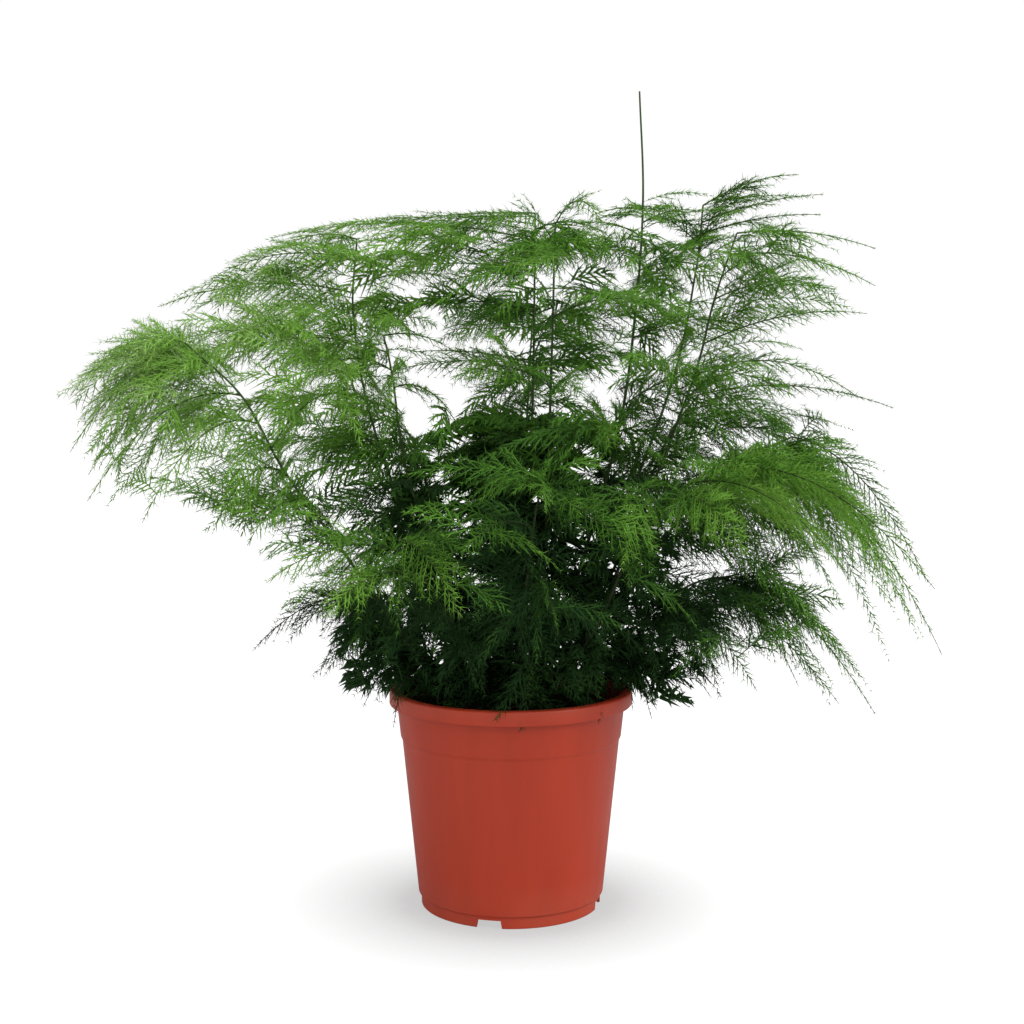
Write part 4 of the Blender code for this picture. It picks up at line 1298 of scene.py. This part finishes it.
def pot_profile():
    """Corners of the pot's wall as (radius, height, rounding), from inside over the rim to the floor."""
    floor = FLOOR_UNDER + WALL
    band_foot = RIM_TOP - RIM_BAND
    step_foot = STEP_HEIGHT - STEP_DROP
    inside = [
        (0, floor, 0),
        (wall_radius(floor), floor, 1.5),
        (BODY_TOP_RADIUS - WALL, step_foot, 0.6),
        (STEP_RADIUS - WALL, STEP_HEIGHT, 0.6),
        (NECK_RADIUS - WALL, RIM_TOP, 1.0),
    ]
    rim = [
        (RIM_RADIUS - 0.2, RIM_TOP, 1.0),
        (RIM_RADIUS, RIM_TOP - RIM_BAND, 0.6),
        (RIM_RADIUS - WALL, band_foot, 0.4),
        (RIM_RADIUS - WALL, RIM_TOP - WALL, 0.4),
        (NECK_RADIUS, RIM_TOP - WALL, 0.4),
    ]
    outside = [
        (STEP_RADIUS, STEP_HEIGHT, 0.4),
        (BODY_TOP_RADIUS, step_foot, 0.6),
        (BODY_FOOT_RADIUS, FOOT_HEIGHT + FOOT_SLOPE, 0.4),
        (FOOT_RADIUS, FOOT_HEIGHT, 0.3),
        (FOOT_RADIUS, 0, 0.6),
        (FOOT_RADIUS - WALL, 0, 0.4),
        (FOOT_RADIUS - WALL, FLOOR_UNDER, 1.0),
        (0, FLOOR_UNDER, 0),
    ]
    return inside + rim + outside


def turned(profile, steps):
    """A profile of (radius, height, rounding) corners, rounded and turned about Z."""
    bm = bmesh.new()
    corners = [bm.verts.new((radius, 0, height)) for radius, height, _ in profile]
    for start, end in zip(corners, corners[1:]):
        bm.edges.new((start, end))
    by_rounding = {}
    for corner, (*_, rounding) in zip(corners, profile):
        by_rounding.setdefault(rounding, []).append(corner)
    for rounding, group in by_rounding.items():
        if rounding:
            bmesh.ops.bevel(
                bm, geom=group, offset=rounding, offset_type="OFFSET", affect="VERTICES",
                segments=BEND_STEPS, profile=0.5, material=-1)
    bmesh.ops.spin(
        bm, geom=bm.verts[:] + bm.edges[:], cent=(0, 0, 0), axis=(0, 0, 1), angle=math.tau,
        steps=steps, use_merge=True)
    bmesh.ops.remove_doubles(bm, verts=bm.verts, dist=1e-4)
    bmesh.ops.recalc_face_normals(bm, faces=bm.faces)
    return bm


def finished(name, bm, scale=(MM, MM, MM)):
    """A mesh in metres of a bmesh, which is in millimetres unless another scale is given."""
    bmesh.ops.scale(bm, vec=scale, verts=bm.verts)
    mesh = bpy.data.meshes.new(name)
    bm.to_mesh(mesh)
    bm.free()
    return mesh


def pot_cutters():
    """The notches of the foot and the drain holes, as one bmesh."""
    bm = bmesh.new()
    for index in range(NOTCH_COUNT):
        angle = NOTCH_START + index * 360 / NOTCH_COUNT
        verts = bmesh.ops.create_cube(bm, size=1)["verts"]
        bmesh.ops.scale(bm, vec=(NOTCH_DEPTH, NOTCH_WIDTH, 2 * NOTCH_HEIGHT), verts=verts)
        top = [vert for vert in verts if vert.co.z > 0]
        bmesh.ops.scale(bm, vec=(1, NOTCH_TAPER, 1), verts=top)
        turn = Matrix.Rotation(math.radians(angle), 3, "Z")
        bmesh.ops.rotate(bm, matrix=turn, verts=verts)
        bmesh.ops.translate(bm, vec=around(FOOT_RADIUS, angle), verts=verts)
        for radius, offset in DRAIN_RINGS:
            place = around(radius, angle + offset) + Vector((0, 0, FLOOR_UNDER + WALL / 2))
            bmesh.ops.create_cone(
                bm, cap_ends=True, segments=DRAIN_SIDES, radius1=DRAIN_RADIUS, radius2=DRAIN_RADIUS,
                depth=6 * WALL, matrix=Matrix.Translation(place))
    return bm


def cut(mesh, cutter_mesh):
    """The first mesh with the second one taken out of it."""
    body = bpy.data.objects.new("body", mesh)
    cutter = bpy.data.objects.new("cutter", cutter_mesh)
    for obj in (body, cutter):
        bpy.context.scene.collection.objects.link(obj)
    boolean = body.modifiers.new("cut", "BOOLEAN")
    boolean.operation = "DIFFERENCE"
    boolean.object = cutter
    result = bpy.data.meshes.new_from_object(body.evaluated_get(bpy.context.evaluated_depsgraph_get()))
    for obj in (body, cutter):
        bpy.data.objects.remove(obj)
    return result


class FERN_OT_pot(bpy.types.Operator):
    """Mould the nursery pot, with its rim, step, foot ring, notches and drain holes"""

    bl_idname = "fern.pot"
    bl_label = "Pot"

    def execute(self, context):
        look = context.scene.fern_pot
        wide, tall = look.rim_radius / RIM_RADIUS, look.height / RIM_TOP
        body = finished("pot_shell", turned(pot_profile(), POT_STEPS), (wide, wide, tall))
        mesh = cut(body, finished("cutters", pot_cutters(), (wide, wide, tall)))
        mesh.name = "pot_shell"
        mesh.set_sharp_from_angle(angle=SHARP_EDGE)
        place_piece("pot_shell", mesh, plastic_material(look), "pot_plastic", "pot")
        return {"FINISHED"}


def soil_height(x, y):
    """Height of the soil's surface, crowned in the middle and lumpy all over."""
    share = math.hypot(x, y) / soil_edge()
    height = SOIL_TOP + SOIL_CROWN * (1 - share**2) - SOIL_EDGE_DROP * share**6
    for size, lift in LUMPS:
        height += lift * noise.noise(Vector((x, y, 0)) / size)
    return height


def soil_edge():
    """Radius of the soil where it meets the wall."""
    collar_slope = (NECK_RADIUS - STEP_RADIUS) / (RIM_TOP - STEP_HEIGHT)
    return NECK_RADIUS - WALL - (RIM_TOP - SOIL_TOP) * collar_slope - SEAT_GAP


def soil_profile():
    floor = FLOOR_UNDER + WALL + SEAT_GAP
    edge = soil_edge()
    top = [(edge * index / SOIL_RINGS, SOIL_TOP, 0) for index in range(SOIL_RINGS + 1)]
    return top + [
        (STEP_RADIUS - WALL - SEAT_GAP, STEP_HEIGHT, 0),
        (BODY_TOP_RADIUS - WALL - SEAT_GAP, STEP_HEIGHT - STEP_DROP, 0),
        (wall_radius(floor) - SEAT_GAP, floor, 0),
        (0, floor, 0),
    ]


class FERN_OT_soil(bpy.types.Operator):
    """Fill the pot with soil, with crumbs and dry straws on it"""

    bl_idname = "fern.soil"
    bl_label = "Soil"

    def execute(self, context):
        look = context.scene.fern_pot
        rng = np.random.default_rng(look.seed)
        bm = turned(soil_profile(), SOIL_STEPS)
        for vert in bm.verts:
            if vert.co.z == SOIL_TOP:
                vert.co.z = soil_height(vert.co.x, vert.co.y)
        mesh = finished("soil_body", bm)
        smooth(mesh)
        earth = soil_material(look)
        place_piece("soil_body", mesh, earth, "potting_soil", "soil")
        place_piece("soil_crumbs", crumbs(rng), earth, "potting_soil")
        place_piece("dry_straws", straws(rng), straw_material(look), "foliage")
        return {"FINISHED"}


def crumbs(rng):
    """Loose crumbs half sunk in the soil."""
    bm = bmesh.new()
    for _ in range(CRUMBS):
        place = around(soil_edge() * CRUMB_REACH * math.sqrt(rng.uniform()), rng.uniform(0, 360))
        radius = rng.uniform(*CRUMB_RADIUS) * rng.uniform(*CRUMB_SIZES)
        place.z = soil_height(place.x, place.y) + CRUMB_RISE * radius
        squash = Matrix.Diagonal((*rng.uniform(*CRUMB_SQUASH, 3), 1))
        turn = Matrix.Rotation(rng.uniform(0, math.tau), 4, rng.normal(size=3))
        bmesh.ops.create_icosphere(
            bm, subdivisions=1, radius=radius, matrix=Matrix.Translation(place) @ turn @ squash)
    return finished("soil_crumbs", bm)


def straws(rng):
    """Dead stems and needles that lie about on the soil, some of them on end."""
    lines = []
    within = soil_edge() - STRAW_CLEAR
    u = np.linspace(0, 1, STRAW_POINTS)[:, None]
    for _ in range(STRAWS):
        foot = around(soil_edge() * STRAW_REACH * math.sqrt(rng.uniform()), rng.uniform(0, 360))
        foot.z = soil_height(foot.x, foot.y) + STRAW_LIFT
        length = rng.uniform(*STRAW_LENGTH)
        heading = around(length, rng.uniform(0, 360))
        tip = foot + heading
        if math.hypot(tip.x, tip.y) > within:
            tip = foot - heading
        if math.hypot(tip.x, tip.y) > within:
            continue
        tip.z = soil_height(tip.x, tip.y) + rng.uniform(*STRAW_TIP_LIFT)
        rise = UP * rng.uniform(*STRAW_ARCH)
        points = np.array(foot) * (1 - u) + np.array(tip) * u + rise * u * (1 - u)
        lines.append((points, STRAW_RADIUS * (1 - STRAW_TAPER * u[:, 0]) * rng.uniform(*STRAW_SIZES)))
    mesh = tubes(lines, 0)
    smooth(mesh)
    return mesh


def smooth(mesh):
    mesh.polygons.foreach_set("use_smooth", np.ones(len(mesh.polygons), bool))


def wood_mesh(path, ribs):
    """The wiry part of a leafy stem: the stem itself and the ribs of its sprays."""
    radii = np.interp(np.linspace(0, 1, len(path)), [0, 1], [STEM_RADIUS, STEM_TIP_RADIUS])
    lines = arc_lines(ribs, RIB_RADIUS)
    bm = bmesh.new()
    for part, resolution in (([(path, radii)], 2), (lines, 0)):
        bm.from_mesh(tubes(part, resolution))
    bmesh.ops.remove_doubles(bm, verts=bm.verts, dist=1e-7)
    mesh = finished("wood", bm, (1, 1, 1))
    smooth(mesh)
    return mesh


def slim_ribs(ribs):
    """The ribs of the sprays that the solids don't have."""
    return stamped(spike_stamp(bends=3), slim_bodies(ribs, FILLER_RIB_RADIUS))


def leaves(ribs, grade, look, rng):
    """The soft parts on a set of ribs, as groups for mesh_of: twigs, the sprigs on them, and needles."""
    def twig_reach(which, share):
        return ribs.width[which] * outline(share)

    def sprig_reach(which, share):
        longest = np.minimum(LONGEST_SPRIG, SPRIG_SHARE * twigs.width[which] + SPRIG_MORE)
        return longest * (1 - share) ** SPRIG_TAPER

    twigs = side_shoots(ribs, TWIGS, twig_reach, SHORTEST_TWIG, rng)
    sprigs = side_shoots(twigs, grade.sprigs, sprig_reach, SHORTEST_SPRIG, rng)
    needle, radius = look.needle / MM, look.needle_radius / MM
    twig_bodies = slim_bodies(twigs, grade.twig_width)
    bends = (twigs.length > BENT_TWIG) * 1 + (twigs.length > LONG_TWIG)
    groups = [stamped(spike_stamp(bends=count), chosen(twig_bodies, bends == count)) for count in range(3)]
    groups.append(stamped(spike_stamp(), slim_bodies(sprigs, grade.sprig_width)))
    for arcs, spacing in zip((ribs, twigs, sprigs), grade.pairs):
        pairs = needle_pairs(arcs, spacing, spacing / 2, needle, radius, rng)
        groups.append(stamped(spike_stamp(both_ways=True), pairs))
    return groups


class FERN_OT_stems(bpy.types.Operator):
    """Grow every leafy stem, with its twigs and its needles"""

    bl_idname = "fern.stems"
    bl_label = "Leafy stems"

    def execute(self, context):
        look = context.scene.fern_foliage
        needle_finish, wood_finish = needle_material(look), wood_material(look)
        plan = plan_plant()
        fillers = filling_sprays(plan, np.random.default_rng(look.seed))
        for index, (stem, path, ribs) in enumerate(plan):
            rng = np.random.default_rng([look.seed, index])
            outer, deep, core = fillers[index]
            placed = more_sprays(stem, path) + companions(stem, path, ribs, rng)
            own = rib_arcs(ribs, rng)
            wood = wood_mesh(path, own)
            groups = leaves(own, FINE, look, rng)
            for grade, some in ((FINE, placed), (PLAIN, outer), (DENSE, deep), (CORE, core)):
                arcs = rib_arcs(some, rng)
                groups += [slim_ribs(arcs), *leaves(arcs, grade, look, rng)]
            place_piece(f"{stem.name}_wood", wood, wood_finish, "foliage", stem.name)
            place_piece(f"{stem.name}_needles", mesh_of(groups), needle_finish, "foliage", stem.name)
        return {"FINISHED"}


def floor_material(look):
    """A grey floor that lights the plant little, and that the camera sees as white but for the shadow."""
    material, tree, shader = new_material("floor", 0.9, 0.0)
    seen = tree.nodes.new("ShaderNodeLightPath").outputs["Is Camera Ray"]
    tree.links.new(blend(tree, seen, FLOOR_IN_LIGHT, FLOOR_IN_VIEW), shader.inputs["Base Color"])
    near = tree.nodes.new("ShaderNodeAmbientOcclusion")
    near.inputs["Distance"].default_value = look.shadow_reach
    open_share = span(tree, near.outputs["AO"], look.shadow_tone, 1.0, *OPEN_SHARES)
    shader.inputs["Emission Color"].default_value = (1, 1, 1, 1)
    tree.links.new(maths(tree, "MULTIPLY", seen, open_share), shader.inputs["Emission Strength"])
    return material


def studio_world(look):
    """Even light from all round, in front of a white backdrop."""
    world = bpy.data.worlds.new("studio")
    world.use_nodes = True
    tree = world.node_tree
    seen = tree.nodes.new("ShaderNodeLightPath")
    strength = span(tree, seen.outputs["Is Camera Ray"], look.sky, BACKDROP)
    tree.nodes["Background"].inputs["Color"].default_value = (1, 1, 1, 1)
    tree.links.new(strength, tree.nodes["Background"].inputs["Strength"])
    return world


class FERN_OT_stage(bpy.types.Operator):
    """Set up the pale floor, the soft light and the camera"""

    bl_idname = "fern.stage"
    bl_label = "Studio"

    def execute(self, context):
        scene = context.scene
        look = scene.fern_stage
        bm = bmesh.new()
        bmesh.ops.create_grid(bm, x_segments=1, y_segments=1, size=FLOOR_REACH)
        mesh = finished("floor", bm, (1, 1, 1))
        mesh.materials.append(floor_material(look))
        floor = bpy.data.objects.new("floor", mesh)
        scene.collection.objects.link(floor)
        floor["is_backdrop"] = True
        scene.world = studio_world(look)
        light = bpy.data.lights.new("sun", "SUN")
        light.energy = look.sun
        light.angle = look.sun_breadth
        sun = bpy.data.objects.new("sun", light)
        sun.rotation_euler = Vector(SUN_FROM).to_track_quat("Z", "Y").to_euler()
        scene.collection.objects.link(sun)
        camera_data = bpy.data.cameras.new("camera")
        camera_data.lens = look.lens
        camera_data.sensor_width = SENSOR_WIDTH
        camera = bpy.data.objects.new("camera", camera_data)
        camera.location = (CAMERA_ASIDE, -look.camera_distance, look.camera_height)
        camera.rotation_euler = (math.radians(90) - look.camera_dip, 0, 0)
        scene.collection.objects.link(camera)
        scene.camera = camera
        scene.view_settings.view_transform = "Standard"
        return {"FINISHED"}


class FERN_PT_panel(bpy.types.Panel):
    """Lists the pieces of the fern"""

    bl_label = "Potted asparagus fern"
    bl_space_type = "VIEW_3D"
    bl_region_type = "UI"
    bl_category = "Fern"

    def draw(self, context):
        for operator in OPERATORS:
            self.layout.operator(operator.bl_idname)


SETTINGS = {
    "fern_foliage": FoliageSettings,
    "fern_pot": PotSettings,
    "fern_stage": StageSettings,
}
OPERATORS = (FERN_OT_pot, FERN_OT_soil, FERN_OT_stems, FERN_OT_stage)


def register():
    for group in SETTINGS.values():
        bpy.utils.register_class(group)
    for name, group in SETTINGS.items():
        setattr(bpy.types.Scene, name, PointerProperty(type=group))
    for operator in OPERATORS:
        bpy.utils.register_class(operator)
    bpy.utils.register_class(FERN_PT_panel)


def unregister():
    bpy.utils.unregister_class(FERN_PT_panel)
    for operator in reversed(OPERATORS):
        bpy.utils.unregister_class(operator)
    for name in SETTINGS:
        delattr(bpy.types.Scene, name)
    for group in reversed(SETTINGS.values()):
        bpy.utils.unregister_class(group)


def main():
    register()
    for operator in OPERATORS:
        name = operator.bl_idname.split(".")[1]
        getattr(bpy.ops.fern, name)()
    boxes = {"cad": CAD_BOX, "visual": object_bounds()}
    sizes = {name: [list(corner) for corner in box] for name, box in boxes.items()}


if __name__ == "__main__":
    main()
